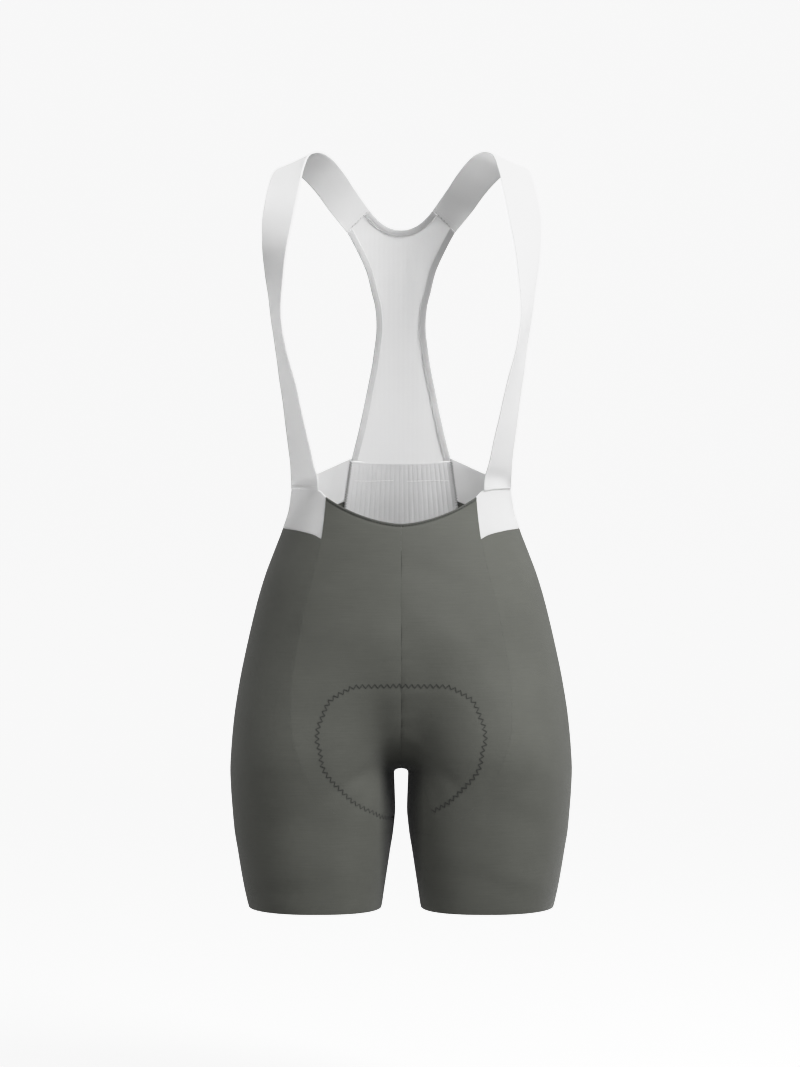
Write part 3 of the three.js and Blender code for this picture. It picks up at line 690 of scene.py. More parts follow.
def add_mesh(name, parts, material):
    """One smooth object from (points, faces, places) parts, placed in its mesh in metres."""
    points, faces, places = [], [], []
    count = 0
    for part_points, part_faces, part_places in parts:
        if signed_volume(part_points, part_faces) < 0:
            part_faces = part_faces[:, ::-1]
        points.append(part_points)
        faces.append(split_short(part_points, part_faces) + count)
        places.append(part_places)
        count += len(part_points)
    points, faces, places = (np.concatenate(group) for group in (points, faces, places))
    mesh = bpy.data.meshes.new(name)
    mesh.from_pydata((points * MM).tolist(), [], faces.tolist())
    layer = mesh.uv_layers.new(name="cloth")
    layer.data.foreach_set("uv", (places[faces.ravel()] * MM).ravel())
    mesh.shade_smooth()
    mesh.set_sharp_from_angle(angle=math.radians(SHARP_FROM))
    mesh.materials.append(material)
    item = bpy.data.objects.new(name, mesh)
    bpy.context.scene.collection.objects.link(item)
    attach(item, "root")
    PIECES[name] = item
    return item


def tube(path, radius, sides=6):
    """Closed round thread along a path. The radius may differ from point to point."""
    path = np.asarray(path, float)
    radius = np.broadcast_to(radius, len(path))
    ahead = unit(np.gradient(path, axis=0))
    guide = np.array([0.31, 0.17, 0.93])
    side = unit(np.cross(ahead, guide))
    up = np.cross(ahead, side)
    angle = np.linspace(0, 2 * math.pi, sides, endpoint=False)
    ring = np.cos(angle)[None, :, None] * side[:, None] + np.sin(angle)[None, :, None] * up[:, None]
    points = (path[:, None] + ring * radius[:, None, None]).reshape(-1, 3)
    number = np.arange(len(path) * sides).reshape(len(path), sides)
    turned = np.roll(number, -1, axis=1)
    walls = np.stack([number[:-1], turned[:-1], turned[1:], number[1:]], -1).reshape(-1, 4)
    caps = []
    for row in (number[0][::-1], number[-1]):
        caps += [[row[0], row[k], row[k + 1], row[k + 2]] for k in range(1, sides - 2, 2)]
        if sides % 2:
            caps.append([row[0], row[sides - 2], row[sides - 1], row[sides - 1]])
    faces = np.concatenate([walls, np.array([cap for cap in caps if len(set(cap)) == 4])])
    return points, faces, points[:, [0, 2]]


def even_path(points, pitch):
    """Points a fixed distance apart along a path."""
    steps = np.linalg.norm(np.diff(points, axis=0), axis=1)
    length = np.concatenate([[0], np.cumsum(steps)])
    wanted = np.arange(0, length[-1], pitch)
    return np.stack([np.interp(wanted, length, points[:, k]) for k in range(3)], -1)


def stitches(points, normals, length=2.4, space=0.7, radius=0.2, lift=0.12, seed=1.0):
    """Short raised threads along a path, each dipping into the cloth at its two ends."""
    fine = even_path(points, 0.2)
    fine_normals = unit(even_like(normals, points, fine))
    pitch = length + space
    count = int(len(fine) * 0.2 / pitch)
    parts = []
    for k in range(count):
        start = k * pitch + 0.15 * math.sin(seed + 5.1 * k)
        at = np.clip(((start + length * np.array([0, 0.2, 0.5, 0.8, 1])) / 0.2).astype(int),
                     0, len(fine) - 1)
        rise = lift * np.array([-1.6, 0.7, 1.0, 0.7, -1.6])
        path = fine[at] + fine_normals[at] * rise[:, None]
        parts.append(tube(path, radius * np.array([0.55, 1, 1.05, 1, 0.55]), 6))
    return parts


def even_like(values, points, wanted):
    """Values carried from points to the nearest of the wanted places along the same path."""
    steps = np.concatenate([[0], np.cumsum(np.linalg.norm(np.diff(points, axis=0), axis=1))])
    new = np.concatenate([[0], np.cumsum(np.linalg.norm(np.diff(wanted, axis=0), axis=1))])
    return np.stack([np.interp(new, steps, values[:, k]) for k in range(3)], -1)


def zigzag(points, normals, width, pitch, radius, lift=0.1):
    """One thread that crosses a path from side to side."""
    fine = even_path(points, pitch / 2)
    up = unit(even_like(normals, points, fine))
    ahead = unit(np.gradient(fine, axis=0))
    side = np.cross(ahead, up)
    swing = np.where(np.arange(len(fine)) % 2 == 0, 1, -1)[:, None]
    turns = fine + side * swing * width / 2 + up * lift
    middles = (turns[:-1] + turns[1:]) / 2 + (up[:-1] + up[1:]) * radius * 0.3
    path = np.empty((len(turns) * 2 - 1, 3))
    path[0::2] = turns
    path[1::2] = middles
    return tube(path, radius, 6)


# Materials
class Nodes:
    """Short names for building a procedural material."""

    def __init__(self, name):
        self.material = bpy.data.materials.new(name)
        self.material.use_nodes = True
        self.tree = self.material.node_tree
        self.shader = self.tree.nodes["Principled BSDF"]

    def add(self, kind, inputs=None, **settings):
        node = self.tree.nodes.new(kind)
        for name, value in settings.items():
            setattr(node, name, value)
        for name, value in (inputs or {}).items():
            self.put(node.inputs[name], value)
        return node

    def put(self, socket, value):
        if isinstance(value, bpy.types.NodeSocket):
            self.tree.links.new(value, socket)
        else:
            socket.default_value = value

    def math(self, operation, first, second=0.0, third=0.0):
        inputs = {0: first, 1: second, 2: third}
        return self.add("ShaderNodeMath", inputs, operation=operation).outputs[0]

    def place(self):
        """Place on the cloth in millimetres, along a row and down it."""
        uv = self.add("ShaderNodeUVMap", uv_map="cloth").outputs[0]
        split = self.add("ShaderNodeSeparateXYZ", {0: uv})
        return [self.math("MULTIPLY", split.outputs[k], 1 / MM) for k in (0, 1)]

    def solid_noise(self, size, detail=3.0, rough=0.55):
        """Noise through space, its grain a size in millimetres."""
        where = self.add("ShaderNodeTexCoord").outputs["Object"]
        inputs = {"Vector": where, "Scale": 1 / (size * MM), "Detail": detail, "Roughness": rough}
        return self.add("ShaderNodeTexNoise", inputs).outputs[0]

    def flat_noise(self, over, down, length, width):
        """Noise on the cloth, drawn out along its rows."""
        inputs = {0: self.math("MULTIPLY", over, 1 / length), 1: self.math("MULTIPLY", down, 1 / width)}
        where = self.add("ShaderNodeCombineXYZ", inputs).outputs[0]
        inputs = {"Vector": where, "Scale": 1.0, "Detail": 3.0, "Roughness": 0.6}
        return self.add("ShaderNodeTexNoise", inputs).outputs[0]

    def spread(self, value, low, high):
        """A value from 0 to 1 stretched to run from low to high."""
        inputs = {"Value": value, "To Min": low, "To Max": high}
        return self.add("ShaderNodeMapRange", inputs).outputs[0]

    def tint(self, dark, light, share):
        inputs = {"Factor": share, "A": (*dark, 1), "B": (*light, 1)}
        node = self.add("ShaderNodeMix", data_type="RGBA")
        for socket in node.inputs:
            if socket.type == "RGBA" and socket.name in "AB":
                self.put(socket, inputs[socket.name])
        self.put(node.inputs["Factor"], share)
        return next(socket for socket in node.outputs if socket.type == "RGBA")

    def painted_hollow_shade(self, colour, reach, power):
        """Colour darkened where other cloth is near: painted shade in hollows, such as the crotch."""
        near = self.add("ShaderNodeAmbientOcclusion", {"Distance": reach * MM})
        share = self.math("POWER", near.outputs["AO"], power)
        mixed = self.add("ShaderNodeMix", data_type="RGBA", blend_type="MULTIPLY")
        mixed.inputs["Factor"].default_value = 1.0
        self.put(mixed.inputs["A"], colour)
        self.put(mixed.inputs["B"], share)
        return mixed.outputs["Result"]

    def bump(self, height, depth, normal=None):
        inputs = {"Height": height, "Strength": 1.0, "Distance": depth * MM}
        if normal is not None:
            inputs["Normal"] = normal
        return self.add("ShaderNodeBump", inputs).outputs[0]

    def let_light_through(self, share, reach):
        """Thin pale cloth glows with the light on its other side. reach is in millimetres."""
        self.shader.inputs["Subsurface Weight"].default_value = share
        self.shader.inputs["Subsurface Radius"].default_value = (1, 1, 1)
        self.shader.inputs["Subsurface Scale"].default_value = reach * MM

    def finish(self, colour, roughness, normal, sheen=0.0, sheen_rough=0.4, specular=0.35):
        self.put(self.shader.inputs["Base Color"], colour)
        self.put(self.shader.inputs["Roughness"], roughness)
        self.put(self.shader.inputs["Normal"], normal)
        self.shader.inputs["Sheen Weight"].default_value = sheen
        self.shader.inputs["Sheen Roughness"].default_value = sheen_rough
        self.shader.inputs["Specular IOR Level"].default_value = specular
        return self.material


def wave(nodes, place, pitch, phase=0.0):
    """Smooth wave from 0 to 1 with a pitch in millimetres."""
    turn = nodes.math("MULTIPLY_ADD", place, 2 * math.pi / pitch, phase)
    return nodes.math("MULTIPLY_ADD", nodes.math("SINE", turn), 0.5, 0.5)


def knit(name, dark, light, wale, course, depth, sheen, roughness, uneven=0.16):
    """Smooth warp knit: fine upright wales crossed by courses, with uneven dye and nap, and with painted
    shade darkening it where other cloth is near.
    """
    nodes = Nodes(name)
    over, down = nodes.place()
    wander = nodes.spread(nodes.solid_noise(9.0), -0.25, 0.25)
    wales = wave(nodes, nodes.math("ADD", over, wander), wale)
    courses = wave(nodes, nodes.math("ADD", down, wander), course)
    loops = nodes.math("MULTIPLY", wales, nodes.math("MULTIPLY_ADD", courses, 0.6, 0.4))
    grain = nodes.solid_noise(0.9, 4.0, 0.7)
    clouds = nodes.solid_noise(46.0, 4.0, 0.6)
    share = nodes.math("MULTIPLY_ADD", loops, 0.35, nodes.math("MULTIPLY", clouds, uneven * 3))
    share = nodes.math("ADD", share, nodes.math("MULTIPLY", grain, 0.2))
    streaks = nodes.spread(nodes.flat_noise(over, down, 30.0, 1.3), -STREAKS, STREAKS)
    share = nodes.math("ADD", share, streaks)
    # Painted shade: the colour darkens where other cloth is near, as in the crotch.
    colour = nodes.painted_hollow_shade(nodes.tint(dark, light, share), 42.0, 2.2)
    height = nodes.math("MULTIPLY_ADD", grain, 0.5, loops)
    normal = nodes.bump(height, depth)
    rough = nodes.spread(clouds, roughness - 0.05, roughness + 0.07)
    return nodes.finish(colour, rough, normal, sheen=sheen)


def ribs(name, dark, light, pitch, depth, sheen, roughness, across=0.0, glow=1.0):
    """Elastic or ribbed cloth: upright cords with a fine cross weave between them."""
    nodes = Nodes(name)
    nodes.let_light_through(glow, 7.0)
    over, down = nodes.place()
    wander = nodes.spread(nodes.solid_noise(14.0), -0.12, 0.12)
    cords = wave(nodes, nodes.math("ADD", over, wander), pitch)
    weave = wave(nodes, down, 0.62)
    grain = nodes.solid_noise(0.6, 4.0, 0.7)
    clouds = nodes.solid_noise(30.0, 3.0, 0.6)
    share = nodes.math("MULTIPLY_ADD", cords, 0.55, nodes.math("MULTIPLY", clouds, 0.3))
    share = nodes.math("ADD", share, nodes.math("MULTIPLY", weave, 0.12 + across))
    share = nodes.math("ADD", share, nodes.math("MULTIPLY", grain, 0.12))
    colour = nodes.tint(dark, light, share)
    height = nodes.math("MULTIPLY_ADD", weave, 0.25 + across, cords)
    height = nodes.math("MULTIPLY_ADD", grain, 0.3, height)
    normal = nodes.bump(height, depth)
    rough = nodes.spread(grain, roughness - 0.06, roughness + 0.06)
    return nodes.finish(colour, rough, normal, sheen=sheen)


def thread(name, dark, light, twist=1.1):
    """Sewing thread, with its twist as fine slanted lines."""
    nodes = Nodes(name)
    where = nodes.add("ShaderNodeTexCoord").outputs["Object"]
    split = nodes.add("ShaderNodeSeparateXYZ", {0: where})
    slant = nodes.math("ADD", split.outputs[0], split.outputs[2])
    slant = nodes.math("MULTIPLY", nodes.math("ADD", slant, split.outputs[1]), 1 / MM)
    lines = wave(nodes, slant, twist)
    grain = nodes.solid_noise(0.5, 3.0, 0.7)
    share = nodes.math("MULTIPLY_ADD", lines, 0.5, nodes.math("MULTIPLY", grain, 0.5))
    normal = nodes.bump(lines, 0.06)
    rough = nodes.spread(grain, 0.5, 0.7)
    return nodes.finish(nodes.tint(dark, light, share), rough, normal, sheen=0.1)


SHORTS_CLOTH = knit("shorts_cloth", (0.073, 0.075, 0.065), (0.126, 0.129, 0.113),
                    0.62, 0.8, 0.10, 0.22, 0.62)
# Darker knit for the rows along the turned neckline hem: painted shade of the rolled edge.
HEM_SHADE_CLOTH = knit("hem_painted_shade", (0.054, 0.056, 0.050), (0.100, 0.102, 0.092),
                 0.62, 0.8, 0.10, 0.15, 0.66)
ELASTIC = ribs("elastic_band", (0.71, 0.71, 0.71), (0.82, 0.82, 0.82), 1.05, 0.10, 0.12, 0.66)
RIB_KNIT = ribs("rib_knit", (0.52, 0.52, 0.53), (0.80, 0.80, 0.80), 0.9, 0.08, 0.12, 0.72)
MESH = ribs("back_mesh", (0.94, 0.94, 0.94), (0.98, 0.98, 0.98), 1.4, 0.08, 0.10, 0.7, 0.1)
MESH.node_tree.nodes["Principled BSDF"].inputs["Alpha"].default_value = 0.72
TAPE = ribs("binding_tape", (0.38, 0.38, 0.385), (0.56, 0.56, 0.56), 0.8, 0.07, 0.12, 0.62)
PALE_THREAD = thread("pale_thread", (0.30, 0.30, 0.29), (0.55, 0.55, 0.53))
DARK_THREAD = thread("dark_thread", (0.012, 0.012, 0.012), (0.04, 0.04, 0.04))
GREY_THREAD = thread("grey_thread", (0.10, 0.10, 0.10), (0.22, 0.22, 0.22))
WHITE_THREAD = thread("white_thread", (0.80, 0.80, 0.80), (0.95, 0.95, 0.95))


# Pieces
def lit_pair(name, slot, right, left, material, flat, area, held="hung"):
    """The right and left pieces of a pair, each in place of its solid."""
    for side, parts in (("right", right), ("left", left)):
        item = add_mesh(f"{name}_{side}_cloth", parts, material)
        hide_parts(f"{name}_{side}")


def pair_of_walls(cloth, thickness, free, shape):
    """Shells of the right piece and of its mirrored twin, each with folds of its own."""
    right = shell(cloth, thickness, shape(cloth, FOLDS_RIGHT, 1.0), free=free)
    left = shell(cloth.mirrored(), thickness, shape(cloth, FOLDS_LEFT, 4.0), free=free)
    return [right], [left]


def paint_rows(item, cloth, rows, material):
    """Gives the top rows of a shell, on both of its faces, another material."""
    item.data.materials.append(material)
    columns_across = cloth.down.shape[1] - 1
    squares = (cloth.down.shape[0] - 1) * columns_across
    for first in (0, squares):
        for number in range(first, first + rows * columns_across):
            item.data.polygons[number].material_index = 1


def panels():
    def front_shape(cloth, folds, seed):
        seams = seam_heights(cloth, {"left": 0, "right": SEAM_CREST}, seed)
        seams += centre_valley(cloth, "left", seed) + turned_hem(cloth, seed)
        return fold_heights(cloth, folds) + seams + pad_heights(cloth)

    def side_shape(cloth, folds, seed):
        seams = seam_heights(cloth, {"left": SEAM_CREST, "right": SEAM_CREST, "top": 0}, seed + 1)
        return fold_heights(cloth, folds) + seams + pad_heights(cloth)

    def back_shape(cloth, folds, seed):
        seams = seam_heights(cloth, {"left": SEAM_CREST, "right": 0, "top": 0}, seed + 2)
        seams += centre_valley(cloth, "right", seed)
        return fold_heights(cloth, folds) + seams + pad_heights(cloth)

    above_tip = LEVELS[LEVELS <= TIP_DROP].copy()
    above_tip[-1] -= TIP_STEP / 2
    hem_fan = np.concatenate([HEM_ROWS, np.linspace(HEM_ROWS[-1], 56, 16)[1:-1]]) / 56
    fan = np.linspace(0, 1, 18)[:-1]

    along = edge_steps(110)
    top = NECK_DROP - NECK_RISE * along ** NECK_POWER
    front = body_cloth(fanned(top, hem_fan, above_tip, along), along, "centre_front", "front")
    right, left = pair_of_walls(front, CLOTH, ("top",), front_shape)
    lit_pair("front", "shorts_cloth", right, left, SHORTS_CLOTH, (0.15, 0.34), 0.037)
    # The top rows along the neckline get the darker hem knit: painted shade of the turned hem.
    for side in ("right", "left"):
        paint_rows(PIECES[f"front_{side}_cloth"], front, HEM_SHADE_ROWS, HEM_SHADE_CLOTH)

    along = edge_steps(300)
    edge = look_up(YOKE_EDGES, "along", "bottom", along) + SEAM_GAP
    side = body_cloth(fanned(edge, fan, LEVELS, along), along, "front", "back")
    right, left = pair_of_walls(side, CLOTH, ("bottom",), side_shape)
    lit_pair("side", "shorts_cloth", right, left, SHORTS_CLOTH, (0.42, 0.45), 0.135)

    along = edge_steps(110)
    edge = np.full(len(along), LUMBAR_DROP + SEAM_GAP)
    fan = np.linspace(0, 1, 7)[:-1]
    back = body_cloth(fanned(edge, fan, above_tip, along), along, "back", "centre_back")
    right, left = pair_of_walls(back, CLOTH, (), back_shape)
    lit_pair("back", "shorts_cloth", right, left, SHORTS_CLOTH, (0.14, 0.32), 0.031)


panels()


# Straps, yokes, lumbar panel and back panel
def yoke_edge(along, column):
    return look_up(YOKE_EDGES, "along", column, along)


def smooth_heights(cloth, edges, seed):
    """Low uneven waves of stretched cloth, with a groove beside the named sewn edges."""
    slow = ripple(cloth.over * 0.35 + cloth.down * 0.11, seed)
    slow = slow + ripple(cloth.down * 0.3 - cloth.over * 0.07, seed + 3)
    return 0.12 * slow + seam_heights(cloth, edges, seed)


def yokes():
    along = edge_steps(175, pitch=2.4)
    down = edge_steps(44, steps=(0, 0.35, 0.9, 1.7, 2.8), pitch=2.4)
    drops = mix(yoke_edge(along, "top")[None, :], yoke_edge(along, "bottom")[None, :], down[:, None])
    cloth = body_cloth(drops, along, "front", "back")
    sewn = {"left": 0, "bottom": 0}
    right = [shell(cloth, CLOTH, smooth_heights(cloth, sewn, 2.0), free=("top",))]
    left = [shell(cloth.mirrored(), CLOTH, smooth_heights(cloth, sewn, 6.0), free=("top",))]
    lit_pair("yoke", "elastic_band", right, left, ELASTIC, (0.19, 0.055), 0.0080)


def lumbar_panel():
    """Ribbed knit, with ribs that stand out on both of its faces."""
    columns_each = 8
    count = RIB_COUNT * columns_each
    down = edge_steps(97, pitch=3.0)[:, None]
    across = np.linspace(-1, 1, count + 1)[None, :]
    top = BACK_EDGE["drop"][-1] + SEAM_GAP + LUMBAR_SAG * (1 - across ** 2)
    drop = mix(top, LUMBAR_DROP, down)
    edge_share = RINGS.seam(1, drop) + RINGS.gap(1, drop)
    edge = RINGS.point(edge_share, drop)[..., 0]
    x = across * edge
    at = section(drop)
    y = find_zero(lambda y: body_field(x, y, at), at["middle"], at["middle"] + at["depth"] * 1.5)
    points = np.stack([x, y, -drop + 0 * x], -1)
    cloth = Cloth(points, body_normals(points), x, drop + 0 * x)
    phase = np.arange(count + 1) / columns_each * 2 * math.pi
    grooves = (0.5 + 0.5 * np.cos(phase)) ** 4
    uneven = 1 + 0.35 * ripple(cloth.down * 0.1 + np.round(across * RIB_COUNT / 2) * 3.7, 1.0)
    ends = np.clip(np.minimum(down, 1 - down) * 97 / 3, 0.25, 1)
    depth = RIB_DEPTH * grooves[None, :] * ends * uneven
    sewn = seam_heights(cloth, {"left": 0, "right": 0, "bottom": 0}, 3)
    outer, inner = RIB_DEPTH - depth + sewn, RIB_DEPTH + depth + sewn
    part = shell(cloth, CLOTH + RIB_DEPTH, outer, inner, free=())
    item = add_mesh("lumbar_cloth", [part], RIB_KNIT)
    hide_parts("lumbar_panel")
    return cloth


def back_point(across, drop):
    bow = BACK_BOW * (across / BACK_BOW_AT) ** 2
    y = look_up(BACK_DEPTH, "drop", "y", drop) - bow
    return np.stack(np.broadcast_arrays(across, y, -np.asarray(drop, float)), -1)


def strap_seam(share, away=0.0):
    """Slanted seam where the strap meets the back panel: 0 at the neck, 1 at the outer edge."""
    run = BACK_EDGE["across"][0] - BACK_NECK["across"]
    fall = BACK_EDGE["drop"][0] - BACK_NECK["seam_drop"]
    length = math.hypot(run, fall)
    share = np.asarray(share, float)
    across = BACK_NECK["across"] + run * share - fall / length * away
    drop = BACK_NECK["seam_drop"] + fall * share + run / length * away
    return back_point(across, drop)


def strap_cloth():
    across = edge_steps(STRAP_WIDTH, steps=(0, 0.3, 0.8, 1.6, 2.8), pitch=2.6)
    value = {name: column[:, None] for name, column in STRAP_PATH.items()}
    turn, bank = np.radians(value["turn"]), np.radians(value["bank"])
    centre = np.stack([value["x"], value["y"], -value["drop"]], -1)
    outwards = np.stack([np.cos(bank) * np.cos(turn), np.cos(bank) * np.sin(turn), np.sin(bank)], -1)
    middle = centre + outwards * (value["width"] * (across[None, :] - 0.5))[..., None]
    along = (1 + 6 * across) / YOKE_COLUMNS
    drop = yoke_edge(along, "top") - STRAP_GAP
    base = RINGS.point(mix(RINGS.seam(-1, drop), RINGS.seam(1, drop), along), drop)
    rows = np.concatenate([base[None], middle, strap_seam(across, -SEAM_GAP)[None]])
    points = through(rows, np.linspace(0, len(rows) - 1, (len(rows) - 1) * STRAP_STEPS + 1))
    steps = np.linalg.norm(np.diff(points.mean(1), axis=0), axis=-1)
    run = np.concatenate([[0], np.cumsum(steps)])[:, None]
    return Cloth(points, free_normals(points), STRAP_WIDTH * across[None, :], run)


def straps():
    cloth = strap_cloth()

    def shape(seed):
        bowed = 0.9 * np.sin(math.pi * np.linspace(0, 1, cloth.down.shape[1]))[None, :]
        waves = 0.35 * ripple(cloth.down * 0.12 + cloth.over * 0.05, seed)
        sewn = seam_heights(cloth, {"top": 0, "bottom": 0}, seed)
        rims = np.minimum(cloth.over, STRAP_WIDTH - cloth.over)
        edging = 0.1 * np.exp(-((rims - 1.1) / 1.0) ** 2)
        ends = np.clip(np.minimum(cloth.down, cloth.down[-1] - cloth.down) / 30, 0, 1)
        return (bowed * 0.3 + waves) * ends + sewn, edging

    pieces = []
    for side, seed in ((cloth, 1.0), (cloth.mirrored(), 5.0)):
        heights, edging = shape(seed)
        sides = ("left", "right")
        pieces.append([shell(side, STRAP_CLOTH, heights + edging, heights - edging, sides)])
    lit_pair("strap", "elastic_band", *pieces, ELASTIC, (0.045, 0.50), 0.0205, "stretched")
    return cloth


def side_edge(share, inset):
    first, last = (BACK_EDGE["drop"][k] for k in (0, -1))
    start = strap_seam(1 - inset * BINDING_SHARE / BINDING_WIDTH, SEAM_GAP)
    drop = mix(first, last, share)
    edge = look_up(BACK_EDGE, "drop", "across", drop)
    ahead = look_up(BACK_EDGE, "drop", "across", drop + 1)
    slope = (ahead - look_up(BACK_EDGE, "drop", "across", drop - 1)) / 2
    straight = edge - inset * np.hypot(1, slope)
    fade = np.clip(1 - share * 8, 0, 1)
    return back_point(mix(straight, start[..., 0], fade), mix(drop, -start[..., 2], fade))


def neck_edge(along, inset):
    end = strap_seam(inset * BINDING_SHARE / BINDING_WIDTH, SEAM_GAP)
    middle = BACK_NECK["drop"] + inset
    drop = middle + (-end[..., 2] - middle) * np.abs(along) ** NECK_ROUND
    return back_point(end[..., 0] * along, drop)


def bindings():
    strips = edge_steps(BINDING_WIDTH, steps=(0, 0.3, 0.8, 1.5), pitch=0.8)

    def folded(cloth, seed):
        across = (cloth.over - cloth.over.min()) / BINDING_WIDTH
        crown = 0.15 * np.sin(math.pi * np.clip(across, 0, 1)) ** 0.5
        stitch = -0.2 * np.exp(-((across - 0.78) / 0.06) ** 2)
        return crown + stitch + 0.05 * ripple(cloth.down, seed)

    share = np.linspace(0, 1, 111)[:, None]
    points = side_edge(share, strips[None, :] * BINDING_WIDTH)
    run = share * 260
    cloth = Cloth(points, free_normals(points), strips[None, :] * BINDING_WIDTH, run)
    pieces = []
    for side, seed in ((cloth, 1.0), (cloth.mirrored(), 3.0)):
        heights = folded(cloth, seed)
        pieces.append([shell(side, BINDING_CLOTH, heights, -heights, pinch=0.6)])
    lit_pair("side_binding", "binding_tape", *pieces, TAPE, (0.026, 0.265), 0.0024, "stretched")
    along = np.linspace(-1, 1, 49)[:, None]
    points = neck_edge(along, strips[None, :] * BINDING_WIDTH)
    cloth = Cloth(points, free_normals(points), strips[None, :] * BINDING_WIDTH, along * 42)
    heights = folded(cloth, 2.0)
    item = add_mesh("neck_binding_cloth", [shell(cloth, BINDING_CLOTH, heights, -heights, pinch=0.6)], TAPE)
    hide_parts("neck_binding")


def back_panel():
    inset = BINDING_WIDTH + SEAM_GAP
    corner = 2 / 3
    bottom = BACK_EDGE["drop"][-1] + PANEL_OVERLAP
    across = np.linspace(-1, 1, 73)[None, :]
    down = edge_steps(250, pitch=3.0)[:, None]
    along = np.abs(across)
    neck = neck_edge(along / corner, inset)
    start = inset * BINDING_SHARE / BINDING_WIDTH
    seam = strap_seam(mix(start, 1 - start, (along - corner) / (1 - corner)), SEAM_GAP)
    top = np.where((along <= corner)[..., None], neck, seam)
    corner_top = strap_seam(1 - start, SEAM_GAP)
    side = side_edge(down, inset)
    corner_bottom = side_edge(np.float64(1), inset)
    bottom_drop = bottom + LUMBAR_SAG * (1 - along ** 2)
    straight = mix(corner_top[0], corner_bottom[0], down)
    x = mix(top[..., 0], corner_bottom[0] * along, down) + along * (side[..., 0] - straight)
    straight = mix(-corner_top[2], bottom, down)
    drop = mix(-top[..., 2], bottom_drop, down) + along * (-side[..., 2] - straight)
    points = back_point(np.sign(across) * x, drop)
    cloth = Cloth(points, free_normals(points), points[..., 0], drop)
    slack = 0.08 * ripple(cloth.over * 0.3 + cloth.down * 0.05, 2.0)
    slack = slack + 0.3 * ripple(cloth.down * 0.13, 1.0)
    edges = np.minimum((1 - along) * 8, np.minimum(down, 1 - down) * 20)
    heights = slack * np.clip(edges, 0, 1) + seam_heights(cloth, {"bottom": 0}, 1.0)
    item = add_mesh("back_panel_cloth", [shell(cloth, MESH_CLOTH, heights, free=())], MESH)
    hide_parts("back_panel")


yokes()
LUMBAR = lumbar_panel()
STRAP = straps()
bindings()
back_panel()


# Threads, laid on the finished cloth
def surface_of(*names):
    """Faces of finished pieces, in millimetres."""
    points, faces = [], []
    for name in names:
        mesh = PIECES[name].data
        first = len(points)
        points += [vertex.co / MM for vertex in mesh.vertices]
        faces += [[first + number for number in face.vertices] for face in mesh.polygons]
    return BVHTree.FromPolygons(points, faces)


def laid(surface, points, outwards, reach=4.0):
    """Points of a path moved onto a finished surface, and its normals there."""
    spots = [surface.find_nearest(Vector(spot)) for spot in points + outwards * reach]
    return np.array([spot[0] for spot in spots]), np.array([spot[1] for spot in spots])


def body_path(face, x, drop):
    """Curve over the body's front (-1) or back (1) through places as they are seen along Y."""
    at = np.linspace(0, len(x) - 1, 12 * len(x))
    x, drop = through(np.asarray(x, float), at), through(np.asarray(drop, float), at)
    here = section(drop)
    reach = find_zero(lambda r: body_field(x, here["middle"] + face * r, here),
                      np.zeros(len(x)), here["depth"] * 1.5)
    points = np.stack([x, here["middle"] + face * reach, -drop], -1)
    return points, body_normals(points)


def add_threads(name, parts, material):
    add_mesh(name, parts, material)


def pad_stitch():
    """Zigzag that holds the seat pad. On the right of the front it ends before the thigh."""
    shorts = surface_of(*(f"{panel}_{side}_cloth" for panel in ("front", "side", "back")
                          for side in ("left", "right")))
    parts = []
    for face, table, right_rows in ((-1, PAD_FRONT, PAD_STITCH_ROWS), (1, PAD_BACK, None)):
        x = np.concatenate([-table["x"][:0:-1], table["x"][:right_rows]])
        drop = np.concatenate([table["drop"][:0:-1], table["drop"][:right_rows]])
        path, normals = laid(shorts, *body_path(face, x, drop))
        parts.append(zigzag(path, normals, PAD_STITCH_WIDTH, PAD_STITCH_PITCH, 0.22, lift=0.1))
    add_threads("pad_stitch", parts, DARK_THREAD)


def neckline_stitches():
    parts = []
    for side, sign in (("right", 1), ("left", -1)):
        along = np.linspace(0.01, 0.985, 60)
        drop = NECK_DROP - NECK_RISE * along ** NECK_POWER + HEM_STITCH
        path = RINGS.point(RINGS.seam(-1, drop) * along, drop)
        normals = body_normals(path)
        flip = np.array([sign, 1, 1])
        path, normals = laid(surface_of(f"front_{side}_cloth"), path * flip, normals * flip)
        parts += stitches(path, normals, length=2.0, space=1.3, radius=0.2, lift=0.08, seed=sign)
    add_threads("neckline_stitches", parts, DARK_THREAD)


def lumbar_overlock():
    """Overlocked seams inside the lumbar panel's sides, and a pale line of stitches across it."""
    drop = np.linspace(BACK_EDGE["drop"][-1] + 1, LUMBAR_DROP - 1, 80)
    seam = RINGS.point(RINGS.seam(1, drop), drop)
    inwards = -body_normals(seam)
    parts = []
    for flip in (np.array([1, 1, 1]), np.array([-1, 1, 1])):
        path = (seam + inwards * (CLOTH + 0.8)) * flip
        parts.append(zigzag(path, inwards * flip, 3.2, 3.0, 0.36))
    add_threads("lumbar_overlock", parts, GREY_THREAD)
    lumbar = surface_of("lumbar_cloth")
    parts = []
    for start, end in ((-51, -5), (7, 56)):
        x = np.linspace(start, end, 60)
        path, normals = body_path(1, x, 352.5 + 0.4 * np.sin(x * 0.13))
        path, normals = laid(lumbar, path, -normals)
        parts += stitches(path, normals, length=3.4, space=0.3, radius=0.26, lift=0.12, seed=start)
    add_threads("lumbar_stitches", parts, WHITE_THREAD)


